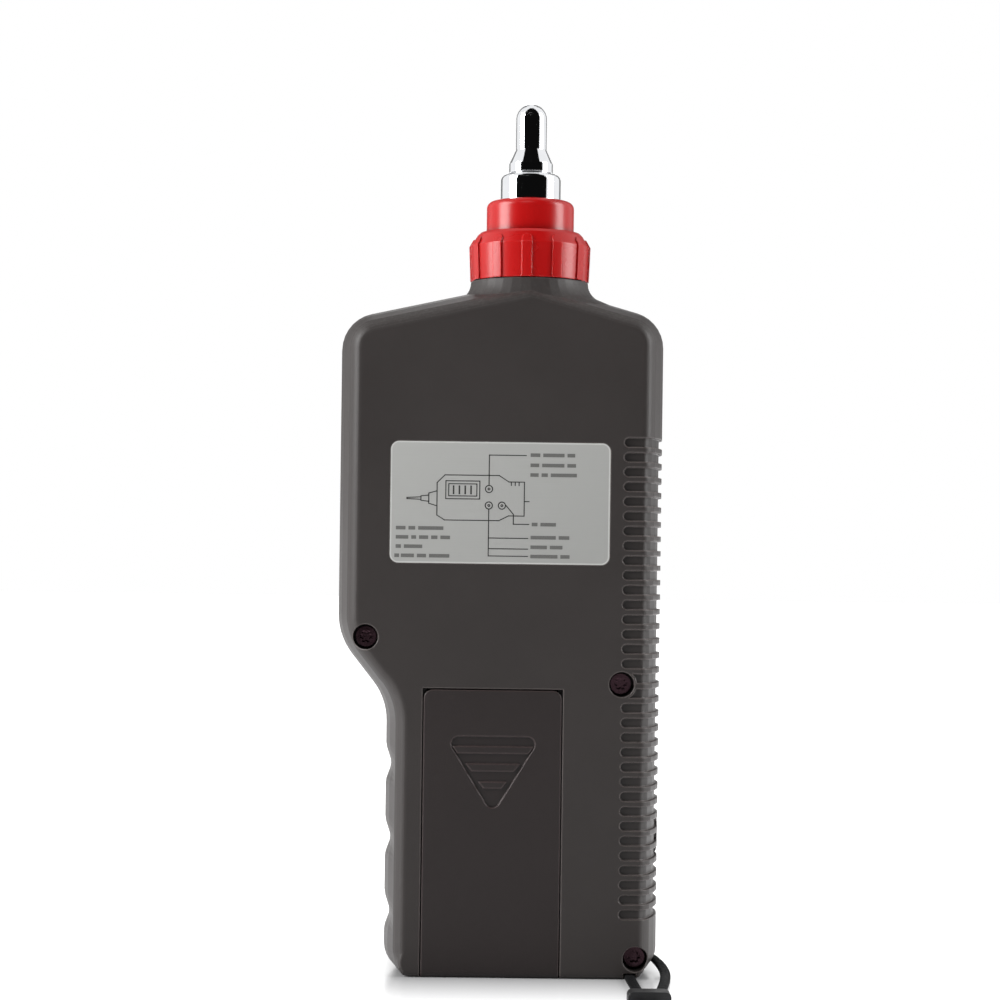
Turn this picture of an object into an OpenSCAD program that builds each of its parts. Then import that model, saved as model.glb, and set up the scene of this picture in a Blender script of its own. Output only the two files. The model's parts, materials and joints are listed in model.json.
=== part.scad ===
// Handheld vibration meter with a screw-in probe, a moulded two-part case and a sliding battery door.
// Stands on its base: +Z runs up to the probe tip, -Y is the back with the label and the battery door,
// +Y is the front with the display and the buttons, +X is the ribbed side. Millimetres.

/* [Case] */
// Width of the case at its head
case_w = 68; // [62:1:74]
// Height of the case up to the collar
neck_z = 145; // [142:1:150]
// Depth of the rear shell behind the parting line
rear_d = 15; // [14.6:0.1:18]
// Depth of the front shell before the parting line
front_d = 13.6; // [13.2:0.1:16]
// Thickness of the rear and front walls
wall_t = 2; // [1.6:0.1:2.2]
// Thickness of the side walls at the parting line
side_t = 4.4; // [4:0.1:5]
// How far the finger grip is set in from the left side of the head
grip_step = 10.4; // [6:0.2:11]
// Height where the grip starts to widen into the head
grip_h = 56.7; // [54:0.1:60]
// Height where the head reaches its full width
head_z = 69.9; // [67:0.1:73]
// Radius of the bends between grip and head
step_r = 13.5; // [8:0.5:14]
// Radius of the two bottom corners
corner_r = 5.5; // [5:0.1:7]
// Radius of the two shoulder corners
shoulder_r = 8; // [6:0.5:12]
// Inset of the side wall where the bevel starts
draft_w = 2.3; // [1.5:0.1:2.6]
// Width of the soft bevel round the flat faces
bevel_w = 2.5; // [1.5:0.1:2.9]
// Depth of the soft bevel
bevel_d = 2.3; // [1.5:0.1:3]
// Rounding of the bottom edge
base_round = 1; // [0.5:0.1:1.5]

/* [Finger grip] */
// Number of finger scallops
scallops = 3; // [1:1:3]
// Depth of a scallop
scallop_d = 1.1; // [0.5:0.1:2]
// Length of a scallop
scallop_l = 8.6; // [6:0.1:12]
// Distance between scallops
scallop_pitch = 15.5; // [13:0.1:16]
// Middle of the lowest scallop
scallop_z = 12.3; // [11:0.1:14]

/* [Side ribs] */
// Number of grooves between the ribs
grooves = 33; // [10:1:33]
// Distance from groove to groove
groove_pitch = 3.047; // [2.6:0.01:3.06]
// Width of a groove
groove_w = 1.95; // [1.2:0.05:2.2]
// Depth of a groove
groove_d = 0.7; // [0.3:0.05:1]
// Middle of the lowest groove
groove_z = 13.4; // [12:0.1:16]
// Reach of the grooves onto the back face
groove_reach = 8.8; // [6:0.1:9]

/* [Battery door] */
// Width of the door opening
door_w = 29; // [28.8:0.1:30]
// Height of the door opening
door_h = 59.7; // [59:0.1:62]
// Middle of the door, measured from the middle of the head
door_x = -1.25; // [-1.5:0.05:0]
// Gap round the door
door_gap = 0.3; // [0.2:0.05:0.5]

/* [Nose] */
// Probe axis, measured from the middle of the head
nose_x = 5.5; // [4:0.1:7]
// Radius of the case neck
neck_r = 12.4; // [12:0.1:13]
// Radius of the threaded spigot on the neck
spigot_r = 10.5; // [10.4:0.05:10.8]
// Height of the spigot
spigot_h = 4.8; // [4:0.1:6]
// Height of the collar nut
collar_h = 10.2; // [9.6:0.1:11]
// Outer radius of the collar nut below its shoulder
collar_r = 12.5; // [12.2:0.1:13]
// Number of grip ribs on the collar nut
collar_ribs = 12; // [6:1:18]
// Outer radius of the nose sleeve
sleeve_r = 9.24; // [9:0.02:9.4]
// Height of the nose sleeve above its flange
sleeve_h = 11; // [10:0.1:12]

/* [Probe] */
// Radius of the probe base
probe_base_r = 6.36; // [6:0.02:6.5]
// Height of the probe base above the nose sleeve
probe_base_h = 5.8; // [5:0.1:7]
// Radius of the probe tip
tip_r = 3.25; // [2.5:0.05:3.5]
// Height of the probe tip above its base
tip_h = 15; // [12:0.1:20]

/* [Display and buttons] */
// Width of the display window
window_w = 25.3; // [22:0.1:26]
// Height of the display window
window_h = 55.3; // [50:0.1:56]
// Radius of a button
button_r = 5.5; // [4.5:0.1:6]
// Travel of a button
button_travel = 0.8; // [0.4:0.1:0.8]
// How far a button stands out of the front face
button_proud = 1.4; // [1.1:0.1:2]

/* [Rear label] */
// Width of the label
label_w = 45.3; // [30:0.1:46]
// Height of the label
label_h = 25.1; // [15:0.1:26]
// Middle of the label, measured from the middle of the head
label_x = -0.25; // [-1:0.05:0]

/* [Hidden] */
$fn = 48;

// One overrun serves every cut, one clearance every part that is fitted by hand
over = 1;
fit_gap = 0.1;
run_gap = 0.05;

// Colours
case_col = "#3f3b3b";
door_col = "#383433";
red_col = "#c8141c";
chrome_col = "#c9ccd0";
steel_col = "#8f9296";
board_col = "#1f5a37";
black_col = "#1b1b1d";

// Outline of the case, seen from the back: left and right sides, grip and shoulders
half_w = case_w / 2;
grip_x = grip_step - half_w;
peak_rise = 0.2;
peak_z = neck_z + peak_rise;
left_drop = 8.7;
right_drop = 8;
peak_r = 6;
arc_steps = 7;
scallop_steps = 8;
seam_w = 0.25;
seam_d = 0.3;
wall_steps = 3;
bevel_steps = 5;
corners = [[grip_x, 0, corner_r], [half_w, 0, corner_r],
           [half_w, peak_z - right_drop, shoulder_r], [nose_x, peak_z, peak_r],
           [-half_w, peak_z - left_drop, shoulder_r], [-half_w, head_z, step_r],
           [grip_x, grip_h, step_r]];

function unit(v) = v / norm(v);
function turned(a) = a > 180 ? a - 360 : a < -180 ? a + 360 : a;
// Points of a rounded corner between its neighbours, each with its outward normal and a dip of 0
function rounded(before, corner, after, wish_r, steps) =
    let (d1 = unit(before - corner),
         d2 = unit(after - corner),
         half = acos(d1 * d2) / 2,
         room = min(norm(before - corner), norm(after - corner)) / 2,
         r = min(wish_r, room * tan(half)),
         mid = corner + unit(d1 + d2) * r / sin(half),
         convex = cross(corner - before, after - corner) > 0 ? 1 : -1,
         from = corner + d1 * r / tan(half) - mid,
         to = corner + d2 * r / tan(half) - mid,
         a1 = atan2(from.y, from.x),
         sweep = turned(atan2(to.y, to.x) - a1))
    [for (i = [0:steps])
        let (a = a1 + sweep * i / steps)
        [mid.x + r * cos(a), mid.y + r * sin(a), convex * cos(a), convex * sin(a), 0]];
// The grip's straight edge with its scallops, from the top one down
function grip_points() =
    [for (n = [scallops - 1:-1:0], i = [0:scallop_steps])
        let (share = i / scallop_steps)
        [grip_x, scallop_z + n * scallop_pitch + scallop_l * (1 / 2 - share), -1, 0,
         scallop_d * (1 - cos(360 * share)) / 2]];
function outline(steps) =
    [for (i = [0:len(corners) - 1])
        let (n = len(corners),
             now = corners[i],
             before = corners[(i + n - 1) % n],
             after = corners[(i + 1) % n])
        each rounded([before.x, before.y], [now.x, now.y], [after.x, after.y], now.z, steps),
     each grip_points()];
case_outline = outline(arc_steps);

// The outline drawn in by a side inset, and by a smaller one along the flat base
function drawn_in(points, side, base, dip) =
    [for (p = points)
        let (down = pow(max(0, -p[3]), 4),
             inset = side * (1 - down) + base * down)
        [p[0] - p[2] * inset + p[4] * dip, p[1] - p[3] * inset]];
// Levels of a shell from the parting line out: depth, side inset, base inset and scallop share
function base_inset(depth, total) =
    let (u = max(0, depth - total + base_round) / base_round)
    base_round * (1 - sqrt(max(0, 1 - u * u)));
function shell_levels(total) =
    [[0, seam_w, seam_w, 1],
     for (k = [0:wall_steps])
        let (share = k / wall_steps,
             depth = seam_d + (total - bevel_d - seam_d) * share)
        [depth, draft_w * share * share, 0, 1 - share * share],
     for (j = [1:bevel_steps])
        let (share = j / bevel_steps,
             depth = total - bevel_d * (1 - share) * (1 - share))
        [depth, draft_w + bevel_w * share, base_inset(depth, total), 0]];
rear_levels = shell_levels(rear_d);
front_levels = shell_levels(front_d);

// Solid between the rings of a list of levels, whose end faces lie a little past the last levels;
// way is -1 towards the back, 1 towards the front
past_share = 0.25;
function run_on(from, to) = to + (to - from) * past_share;
module lofted(levels, way) {
    last = len(levels) - 1;
    ends = concat([run_on(levels[1], levels[0])], levels, [run_on(levels[last - 1], levels[last])]);
    rings = [for (k = [0:last + 2])
        let (l = ends[k])
        if (k != 1 && k != last + 1)
            [for (p = drawn_in(case_outline, l[1], l[2], l[3])) [p.x, way * l[0], p.y]]];
    n = len(rings[0]);
    m = len(rings);
    heart = [nose_x, 0, grip_h];
    points = [for (ring = rings) each ring,
              [heart.x, rings[0][0].y, heart.z],
              [heart.x, rings[m - 1][0].y, heart.z]];
    sides = [for (j = [0:m - 2], i = [0:n - 1])
        let (a = j * n + i, b = j * n + (i + 1) % n)
        each [[a, b, b + n], [a, b + n, a + n]]];
    caps = [for (i = [0:n - 1])
        let (k = (i + 1) % n, last = (m - 1) * n)
        each [[m * n, k, i], [m * n + 1, last + i, last + k]]];
    faces = concat(sides, caps);
    polyhedron(points = points, faces = way > 0 ? faces : [for (f = faces) [f[0], f[2], f[1]]]);
}

// Neck that flares from the round collar seat into the shoulders
flare_r = 4;
flare_turn = 74;
flare_steps = 7;
flare_tail = 5.5;
flare_slope_share = 0.4;
neck_steps = 40;
neck_rings = [for (i = [0:flare_steps])
                 let (a = flare_turn * i / flare_steps)
                 [neck_r + flare_r * (1 - cos(a)), neck_z - flare_r * sin(a)]];
neck_last = neck_rings[flare_steps];
neck_tail = [neck_last.x + flare_tail, neck_last.y - flare_tail * flare_slope_share];
module neck(depth) {
    rings = concat(neck_rings, [neck_tail]);
    m = len(rings);
    n = neck_steps;
    points = [for (ring = rings, i = [0:n - 1])
        let (a = 360 * i / n,
             share = (neck_z - ring.y) / (neck_z - neck_tail.y),
             y = neck_r + (depth - neck_r) * share)
        [nose_x + ring.x * cos(a), y * sin(a), ring.y]];
    sides = [for (j = [0:m - 2], i = [0:n - 1])
        let (a = j * n + i, b = j * n + (i + 1) % n)
        each [[a, b, b + n], [a, b + n, a + n]]];
    caps = [for (i = [1:n - 2]) each [[0, i + 1, i], [(m - 1) * n, (m - 1) * n + i, (m - 1) * n + i + 1]]];
    polyhedron(points = points, faces = concat(sides, caps));
}
// One half of the case, solid, between the parting plane and its flat face
module half_case(levels, depth, way) {
    intersection() {
        union() {
            lofted(levels, way);
            neck(depth);
            round_z(neck_z - over, spigot_r, spigot_h + over);
        }
        block([-case_w, min(0, way * depth), -over], [case_w, max(0, way * depth), spigot_z + over]);
    }
}

// Straight solids along each axis
module block(low, high) {
    translate(low)
        cube(high - low);
}
module along_y(from, to) {
    translate([0, to, 0])
        rotate([90, 0, 0])
            linear_extrude(to - from)
                children();
}
module along_x(from, to) {
    translate([from, 0, 0])
        rotate([90, 0, 90])
            linear_extrude(to - from)
                children();
}
module along_z(from, to) {
    translate([0, 0, from])
        linear_extrude(to - from)
            children();
}
module post_y(x, z, r, from, to) {
    translate([x, to, z])
        rotate([90, 0, 0])
            cylinder(r = r, h = to - from);
}
module soft_box(low, high, r) {
    polygon([for (c = [[low.x + r, low.y + r, 180], [high.x - r, low.y + r, 270],
                       [high.x - r, high.y - r, 0], [low.x + r, high.y - r, 90]],
                  i = [0:arc_steps])
                 let (a = c.z + 90 * i / arc_steps)
                 [c.x + r * cos(a), c.y + r * sin(a)]]);
}

// Case screws: three from the back, the lowest one also carries the strap
head_screw_in = 6.3;
head_screw_rise = 0.2;
grip_screw_in = 8.7;
grip_screw_rise = 4.2;
foot_screw_in = 5.2;
foot_screw_z = 4.2;
screw_spots = [[head_screw_in - half_w, head_z + head_screw_rise],
               [half_w - grip_screw_in, grip_h + grip_screw_rise],
               [half_w - foot_screw_in, foot_screw_z]];
well_r = 2.6;
well_rim = 0.5;
well_d = 3.9;
screw_head_r = 2.2;
screw_head_t = 1.6;
screw_web = 2;
screw_r = 1.25;
screw_l = 15;
screw_hole_r = 1.5;
lobe_r = 1.2;
lobe_d = 1;
lobes = 6;
boss_r = 5;
post_r = 3;
post_gap = 0.3;
head_y = well_d - rear_d;
seat_y = head_y + screw_head_t;
web_y = seat_y + screw_web;

// Window in the bottom corner where the wrist strap passes round the screw post
strap_w = 2.2;
strap_t = 1.1;
strap_gap = 0.2;
strap_half = 3;
strap_window_w = 8.8;
strap_left = half_w - strap_window_w;
strap_top = 7.6;
strap_post_r = 2.2;
strap_in = 6.3;
strap_x = half_w - strap_in;

// Inner faces of the front and rear walls
front_in = front_d - wall_t;
rear_in = wall_t - rear_d;

// Battery bay behind the door, and the rails of the door
door_ledge = 1.25;
door_over = 2.1;
bay_gap = 0.4;
bay_floor = 2.6;
bay_wall = 1.2;
battery_w = door_w - 2 * door_ledge;
battery_d = 17.5;
bay_w = battery_w + 2 * bay_gap;
pad_room = 0.3;
battery_slack = 0.2;
battery_y = rear_in + pad_room;
battery_mid = battery_y + battery_d / 2;
bay_y = battery_y + battery_d + battery_slack;
snap_t = 3.4;
snap_room = 2.6;
bay_top = door_h - door_over;
snap_top = bay_top - snap_room;
battery_top = snap_top - snap_t - fit_gap;
tongue_t = 1.2;
tongue_w = 0.8;
rail_w = 1.2;
tub_half = door_w / 2 + tongue_w + rail_w;
tub_top = door_h + tongue_w + rail_w;

// The board lies on the front of the battery bay
board_gap = 0.2;
board_t = 1.6;
board_y = bay_y + bay_wall + board_gap;
board_top = board_y + board_t;

// Nose, from the spigot up
spigot_z = neck_z + spigot_h;
spigot_wall = 2;
can_bore = spigot_r - spigot_wall;
flange_t = 1.4;
flange_r = spigot_r - fit_gap;
flange_z = spigot_z + flange_t;
washer_t = 0.6;
washer_z = flange_z + washer_t;
sleeve_z = flange_z + sleeve_h;
sleeve_round = 1.5;
collar_z = neck_z + 2 * fit_gap;
sleeve_bore = probe_base_r + fit_gap;

// Output jack on the ribbed side
jack_z = 29;
jack_r = 1.75;
jack_nose_r = 2.9;
jack_hole_r = 3.1;
jack_field_r = 4.4;
jack_in = 1;
jack_depth = 13;
jack_tall = 6;
jack_wide = 6.4;
jack_y = board_y - jack_tall / 2;
module jack_hole() {
    translate([0, jack_y, jack_z])
        rotate([0, 90, 0])
            cylinder(r = jack_hole_r, h = case_w);
}

// Places on the front
window_in = 10.5;
window_rise = 0.8;
window_low = [window_in - half_w, head_z + window_rise];
window_high = window_low + [window_w, window_h];
window_r = 1.5;
lens_t = 1.2;
view_rim = 3.4;
panel_t = 0.5;
panel_proud = 0.1;
panel_in = 6.5;
panel_low = 36.3;
panel_drop = 17.7;
strip_wide = 19.4;
foot_wide = 41.6;
foot_tall = 22.2;
strip_low = [half_w - panel_in - strip_wide, panel_low];
strip_high = [half_w - panel_in, peak_z - panel_drop];
foot_low = [half_w - panel_in - foot_wide, panel_low];
foot_high = [half_w - panel_in, panel_low + foot_tall];
panel_r = 2;
ring_w = 1.5;
ring_h = 0.5;
ring_gap = 0.5;
key_in = 9.3;
key_rise = 12.4;
key_row = 21.8;
key_column = 21.5;
key_x = half_w - panel_in - key_in;
key_z = panel_low + key_rise;
button_spots = [[key_x, key_z + key_column], [key_x, key_z], [key_x - key_row, key_z]];
field_left = 8.3;
field_right = 6;
field_base = 5.9;
field_top = 2.4;
field_low = [grip_x + field_left, field_base];
field_high = [half_w - field_right, panel_low - field_top];
field_d = 0.3;

// Half-round grooves between the ribs, down to an even depth below the skin
function skin_normal(levels, i) =
    let (n = len(levels),
         a = levels[max(0, i - 1)],
         b = levels[min(n - 1, i + 1)],
         v = unit([b[0] - a[0], b[1] - a[1]]))
    [v.x, v.y];
module rib_core(levels, way) {
    n = len(levels);
    skin = [for (i = [1:n - 1])
        let (v = skin_normal(levels, i), l = levels[i])
        [half_w - l[1] - groove_d * v.x, way * (l[0] - groove_d * v.y)]];
    deep = way * (levels[n - 1][0] - groove_d);
    along_z(groove_z - groove_pitch, groove_z + grooves * groove_pitch)
        polygon(concat([[half_w - groove_d, -way * over]], skin,
                       [[half_w - case_w / 4, deep], [half_w - case_w / 4, -way * over]]));
}
module rib_grooves(levels, way, reach) {
    difference() {
        for (i = [0:grooves - 1])
            translate([half_w - reach + groove_w / 2, 0, groove_z + i * groove_pitch]) {
                end = way * (levels[len(levels) - 1][0] + over);
                along_y(min(0, end), max(0, end))
                    union() {
                        circle(r = groove_w / 2);
                        translate([0, -groove_w / 2])
                            square([reach + over, groove_w]);
                    }
            }
        rib_core(levels, way);
        post_y(screw_spots[1].x, screw_spots[1].y, well_r + well_rim, -rear_d - over, front_d + over);
        translate([0, jack_y, jack_z])
            rotate([0, 90, 0])
                cylinder(r = jack_field_r, h = case_w);
    }
}

// Inside of the case, with straight walls
module cavity(from, to) {
    along_y(from, to)
        polygon(drawn_in(outline(2), side_t, side_t, 0));
}
module strap_window() {
    block([strap_left, -strap_half, -over], [half_w + over, strap_half, strap_top]);
    groove_half = strap_w / 2 + strap_gap;
    block([strap_x - groove_half, -rear_d - over, -over],
          [strap_x + groove_half, -strap_half + over, strap_t + strap_gap]);
}
module can_space() {
    translate([nose_x, 0, peak_z - 2 * side_t])
        cylinder(r = can_bore, h = case_w);
}

module rear_shell() {
    color(case_col)
    difference() {
        union() {
            difference() {
                half_case(rear_levels, rear_d, -1);
                cavity(rear_in, over);
            }
            block([door_x - tub_half, rear_in - wall_t / 2, bay_floor / 2],
                  [door_x + tub_half, bay_y + bay_wall, tub_top]);
            for (s = screw_spots)
                intersection() {
                    post_y(s.x, s.y, boss_r, rear_in - wall_t / 2, web_y);
                    along_y(-rear_d, 0)
                        polygon(drawn_in(outline(2), draft_w + bevel_w / 2, base_round, 0));
                }
        }
        can_space();
        // Opening, rails and bay of the battery door
        block([door_x - door_w / 2, -rear_d - over, -over], [door_x + door_w / 2, rear_in, door_h]);
        block([door_x - door_w / 2 - tongue_w - fit_gap, rear_in - fit_gap, -over],
              [door_x + door_w / 2 + tongue_w + fit_gap, rear_in + tongue_t + fit_gap,
               door_h + tongue_w + fit_gap]);
        block([door_x - bay_w / 2, rear_in - over, bay_floor], [door_x + bay_w / 2, bay_y, bay_top]);
        for (s = screw_spots) {
            post_y(s.x, s.y, well_r, -rear_d - over, seat_y);
            post_y(s.x, s.y, screw_hole_r, -rear_d, over);
            post_y(s.x, s.y, post_r + post_gap, web_y, over);
        }
        along_y(-rear_d - over, label_t - rear_d)
            soft_box(label_low, label_high, label_r);
        rib_grooves(rear_levels, -1, groove_reach);
        difference() {
            strap_window();
            post_y(screw_spots[2].x, screw_spots[2].y, strap_post_r, -strap_half - over, 0);
        }
        lead_slot();
        jack_hole();
    }
}

// Label on the back, flush in its recess
label_t = 0.25;
label_r = 1.7;
label_rise = 15.6;
label_low = [label_x - label_w / 2, head_z + label_rise];
label_high = label_low + [label_w, label_h];
module rear_label() {
    color("#a9aaa6")
    along_y(-rear_d, label_t - rear_d)
        soft_box(label_low, label_high, label_r);
}

front_reach = 4.2;
module front_cut() {
    // Display, panel and buttons
    along_y(front_d - lens_t, front_d + over)
        soft_box(window_low, window_high, window_r);
    along_y(front_in - over, front_d)
        soft_box(window_low + [view_rim, view_rim], window_high - [view_rim, view_rim], window_r);
    along_y(front_d - panel_t, front_d + over)
        union() {
            soft_box(strip_low, strip_high, panel_r);
            soft_box(foot_low, foot_high, panel_r);
        }
    for (b = button_spots)
        post_y(b.x, b.y, button_r + 2 * fit_gap, front_in - over, front_d);
    along_y(front_d - field_d, front_d + over)
        soft_box(field_low, field_high, panel_r);
}
module front_shell() {
    color(case_col)
    difference() {
        union() {
            difference() {
                half_case(front_levels, front_d, 1);
                cavity(-over, front_in);
            }
            for (s = screw_spots)
                post_y(s.x, s.y, post_r, web_y + fit_gap, front_in + wall_t / 2);
            for (s = board_spots)
                post_y(s.x, s.y, board_post_r, board_top, front_in + wall_t / 2);
        }
        can_space();
        front_cut();
        // Room for the battery bay of the rear shell
        block([door_x - tub_half - fit_gap, -over, bay_floor / 2 - fit_gap],
              [door_x + tub_half + fit_gap, bay_y + bay_wall + fit_gap, tub_top + fit_gap]);
        for (s = screw_spots)
            post_y(s.x, s.y, screw_r + run_gap, web_y, seat_y + screw_l + over);
        for (s = board_spots)
            post_y(s.x, s.y, board_screw_r + run_gap, board_top - over, front_in);
        rib_grooves(front_levels, 1, front_reach);
        jack_hole();
        difference() {
            strap_window();
            post_y(screw_spots[2].x, screw_spots[2].y, strap_post_r, -strap_half - over, strap_half + over);
        }
    }
}

module case_screws() {
    color(black_col)
    for (s = screw_spots)
        difference() {
            union() {
                post_y(s.x, s.y, screw_head_r, head_y, seat_y);
                post_y(s.x, s.y, screw_r, seat_y - fit_gap, seat_y + screw_l);
            }
            for (i = [0:lobes / 2 - 1])
                translate([s.x, head_y + lobe_d, s.y])
                    rotate([90, 0, 0])
                        rotate(i * 360 / lobes)
                            linear_extrude(lobe_d + over)
                                square([2 * lobe_r, lobe_r / 2], center = true);
            post_y(s.x, s.y, lobe_r * 3 / 4, head_y - over, head_y + lobe_d);
        }
}

module lcd_window() {
    color("#2a2e30")
    along_y(front_d - lens_t, front_d)
        soft_box(window_low + [fit_gap, fit_gap], window_high - [fit_gap, fit_gap], window_r);
}

// Display: holder, glass and the strips that join it to the board
glass_rim = 1.2;
glass_t = 2.2;
holder_t = 1.6;
glass_y = front_in - fit_gap - glass_t;
glass_low = window_low + [glass_rim, 2 * glass_rim];
glass_high = window_high - [glass_rim, 2 * glass_rim];
strip_w = 2;
module lcd_glass() {
    color("#9aa58f")
    block([glass_low.x, glass_y, glass_low.y], [glass_high.x, glass_y + glass_t, glass_high.y]);
}
module lcd_holder() {
    color("#dcdcd8")
    difference() {
        block([glass_low.x - holder_t, board_top, glass_low.y - holder_t],
              [glass_high.x + holder_t, front_in - fit_gap, glass_high.y + holder_t]);
        block([glass_low.x - fit_gap, board_top - over, glass_low.y - fit_gap],
              [glass_high.x + fit_gap, front_in + over, glass_high.y + fit_gap]);
    }
}
module contact_strips() {
    color("#d98f9a")
    for (x = [glass_low.x, glass_high.x - strip_w])
        block([x, board_top, glass_low.y + strip_w], [x + strip_w, glass_y, glass_high.y - strip_w]);
}

// Main board, in the head and down the ribbed side of the grip
board_in = 6;
board_drop = 17.2;
board_step_drop = 5.9;
board_rise = 4;
board_notch = 10;
board_leg_in = 10.6;
jack_margin = 7;
board_left = board_in - half_w;
board_right = half_w - board_in;
board_high = peak_z - board_drop;
board_step = head_z - board_step_drop;
board_low = jack_z - jack_margin;
board_leg = grip_x + board_leg_in;
spot_left = 1.6;
spot_right = 3;
spot_top = 6;
spot_foot = 16;
spot_foot_in = 5.5;
board_spots = [[board_left + spot_left, board_high - spot_top],
               [board_right - spot_right, board_high - spot_top],
               [board_right - spot_foot_in, board_low + spot_foot]];
board_post_r = 2.3;
board_screw_r = 0.9;
board_head_r = 1.7;
board_head_t = 1.2;
board_screw_l = 4.6;
module main_board() {
    color(board_col)
    difference() {
        along_y(board_y, board_top)
            polygon([[board_left, head_z + board_rise], [board_left, board_high],
                     [board_right, board_high], [board_right, board_low],
                     [board_leg, board_low], [board_leg, board_step],
                     [board_left + board_notch, board_step],
                     [board_left + board_notch, head_z + board_rise]]);
        for (s = screw_spots)
            post_y(s.x, s.y, post_r + fit_gap + post_gap, board_y - over, board_top + over);
        for (s = board_spots)
            post_y(s.x, s.y, board_screw_r + fit_gap, board_y - over, board_top + over);
    }
}
module board_screws() {
    color(steel_col)
    for (s = board_spots) {
        post_y(s.x, s.y, board_head_r, board_y - board_head_t, board_y);
        post_y(s.x, s.y, board_screw_r, board_y - fit_gap, board_y - fit_gap + board_screw_l);
    }
}

// Chips, capacitors and the connector for the sensor lead, on the back of the board
function board_at(shares) =
    [board_left + shares.x * (board_right - board_left),
     board_low + shares.y * (board_high - board_low)];
chip_shares = [[0.25, 0.7], [0.64, 0.58], [0.14, 0.51]];
chip_size = [[14, 10], [10, 8], [8, 6]];
chip_t = 1.8;
cap_shares = [[0.75, 0.77], [0.86, 0.77], [0.64, 0.85]];
cap_r = 2.5;
cap_h = 6;
plug_size = [8, 4, 5];
plug_drop = 10;
plug_y = board_y - plug_size.y / 2;
plug_z = board_high - plug_drop;
module circuit_parts() {
    color("#26282b")
    for (i = [0:len(chip_shares) - 1]) {
        low = board_at(chip_shares[i]);
        block([low.x, board_y - chip_t, low.y], [low.x + chip_size[i].x, board_y, low.y + chip_size[i].y]);
    }
    color("#3b4f8a")
    for (shares = cap_shares)
        post_y(board_at(shares).x, board_at(shares).y, cap_r, board_y - cap_h, board_y);
    color("#e8e4d8")
    block([nose_x - plug_size.x / 2, board_y - plug_size.y, plug_z],
          [nose_x + plug_size.x / 2, board_y, plug_z + plug_size.z]);
}

// Low switches under the buttons, each with a moving plunger
switch_w = 6;
switch_t = 1.2;
plunger_r = 1.6;
plunger_low = board_top + button_travel + fit_gap;
key_flange_w = 1.1;
key_flange_t = 1;
key_gap = 0.3;
plunger_top = front_in - key_gap - key_flange_t;
module key_switches() {
    color("#4a4c50")
    for (b = button_spots)
        difference() {
            block([b.x - switch_w / 2, board_top, b.y - switch_w / 2],
                  [b.x + switch_w / 2, board_top + switch_t, b.y + switch_w / 2]);
            post_y(b.x, b.y, plunger_r + run_gap, board_top + run_gap, board_top + switch_t + over);
        }
}
module plunger(b) {
    color("#c9c3b4")
    post_y(b.x, b.y, plunger_r, plunger_low, plunger_top);
}

// A button: domed cap, flange behind the wall and a foot on the plunger
key_flange_r = button_r + key_flange_w;
key_edge = 0.6;
module button(b, tint) {
    top = front_d + button_proud;
    color(tint)
    translate([b.x, 0, b.y])
        rotate([-90, 0, 0])
            rotate_extrude()
                polygon([[0, plunger_top], [key_flange_r, plunger_top],
                         [key_flange_r, plunger_top + key_flange_t],
                         [button_r, plunger_top + key_flange_t],
                         for (i = [0:arc_steps])
                             let (a = 90 * i / arc_steps)
                             [button_r - key_edge + key_edge * cos(a), top - key_edge + key_edge * sin(a)],
                         [0, top]]);
}
module measure_button() { button(button_spots[0], red_col); }
module measure_plunger() { plunger(button_spots[0]); }
module function_button() { button(button_spots[1], "#d8d8d4"); }
module function_plunger() { plunger(button_spots[1]); }
module range_button() { button(button_spots[2], "#d8d8d4"); }
module range_plunger() { plunger(button_spots[2]); }

// Panel round the buttons, with a raised ring at each
module front_panel() {
    color("#8b8d8f")
    difference() {
        union() {
            along_y(front_d - panel_t, front_d + panel_proud)
                union() {
                    soft_box(strip_low + [fit_gap, fit_gap], strip_high - [fit_gap, fit_gap], panel_r);
                    soft_box(foot_low + [fit_gap, fit_gap], foot_high - [fit_gap, fit_gap], panel_r);
                }
            for (b = button_spots)
                post_y(b.x, b.y, button_r + ring_gap + ring_w, front_d, front_d + ring_h);
        }
        for (b = button_spots)
            post_y(b.x, b.y, button_r + ring_gap, front_d - panel_t - over, front_d + ring_h + over);
    }
}

module output_jack() {
    color("#232427")
    difference() {
        union() {
            block([half_w - jack_in - jack_depth - wall_t, jack_y - jack_tall / 2, jack_z - jack_wide / 2],
                  [half_w - side_t - jack_nose_r + wall_t, board_y, jack_z + jack_wide / 2]);
            translate([half_w - side_t - jack_nose_r, jack_y, jack_z])
                rotate([0, 90, 0])
                    cylinder(r = jack_nose_r, h = side_t + jack_nose_r - jack_in);
        }
        translate([half_w - jack_in - jack_depth, jack_y, jack_z])
            rotate([0, 90, 0])
                cylinder(r = jack_r, h = jack_depth + over);
    }
}

// Nine-volt block battery with its two studs, and the snap that grips them
stud_gap = 12.7;
small_stud = [2.9, 2.8];
big_stud = [4, 2.6];
snap_w = 12.6;
snap_side = 0.55;
snap_l = battery_w - 2 * snap_side;
module studs(grow, rise) {
    for (s = [[-1, small_stud], [1, big_stud]])
        translate([door_x + s[0] * stud_gap / 2, battery_mid, battery_top])
            cylinder(r = s[1].x + grow, h = s[1].y + rise);
}
module battery() {
    color("#202226")
    union() {
        block([door_x - battery_w / 2, battery_y, bay_floor + bay_gap],
              [door_x + battery_w / 2, battery_y + battery_d, battery_top]);
        studs(0, 0);
    }
}
module battery_snap() {
    color("#151517")
    difference() {
        block([door_x - snap_l / 2, battery_mid - snap_w / 2, battery_top + fit_gap],
              [door_x + snap_l / 2, battery_mid + snap_w / 2, battery_top + fit_gap + snap_t]);
        translate([0, 0, -over])
            studs(fit_gap, over + fit_gap);
    }
}

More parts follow.
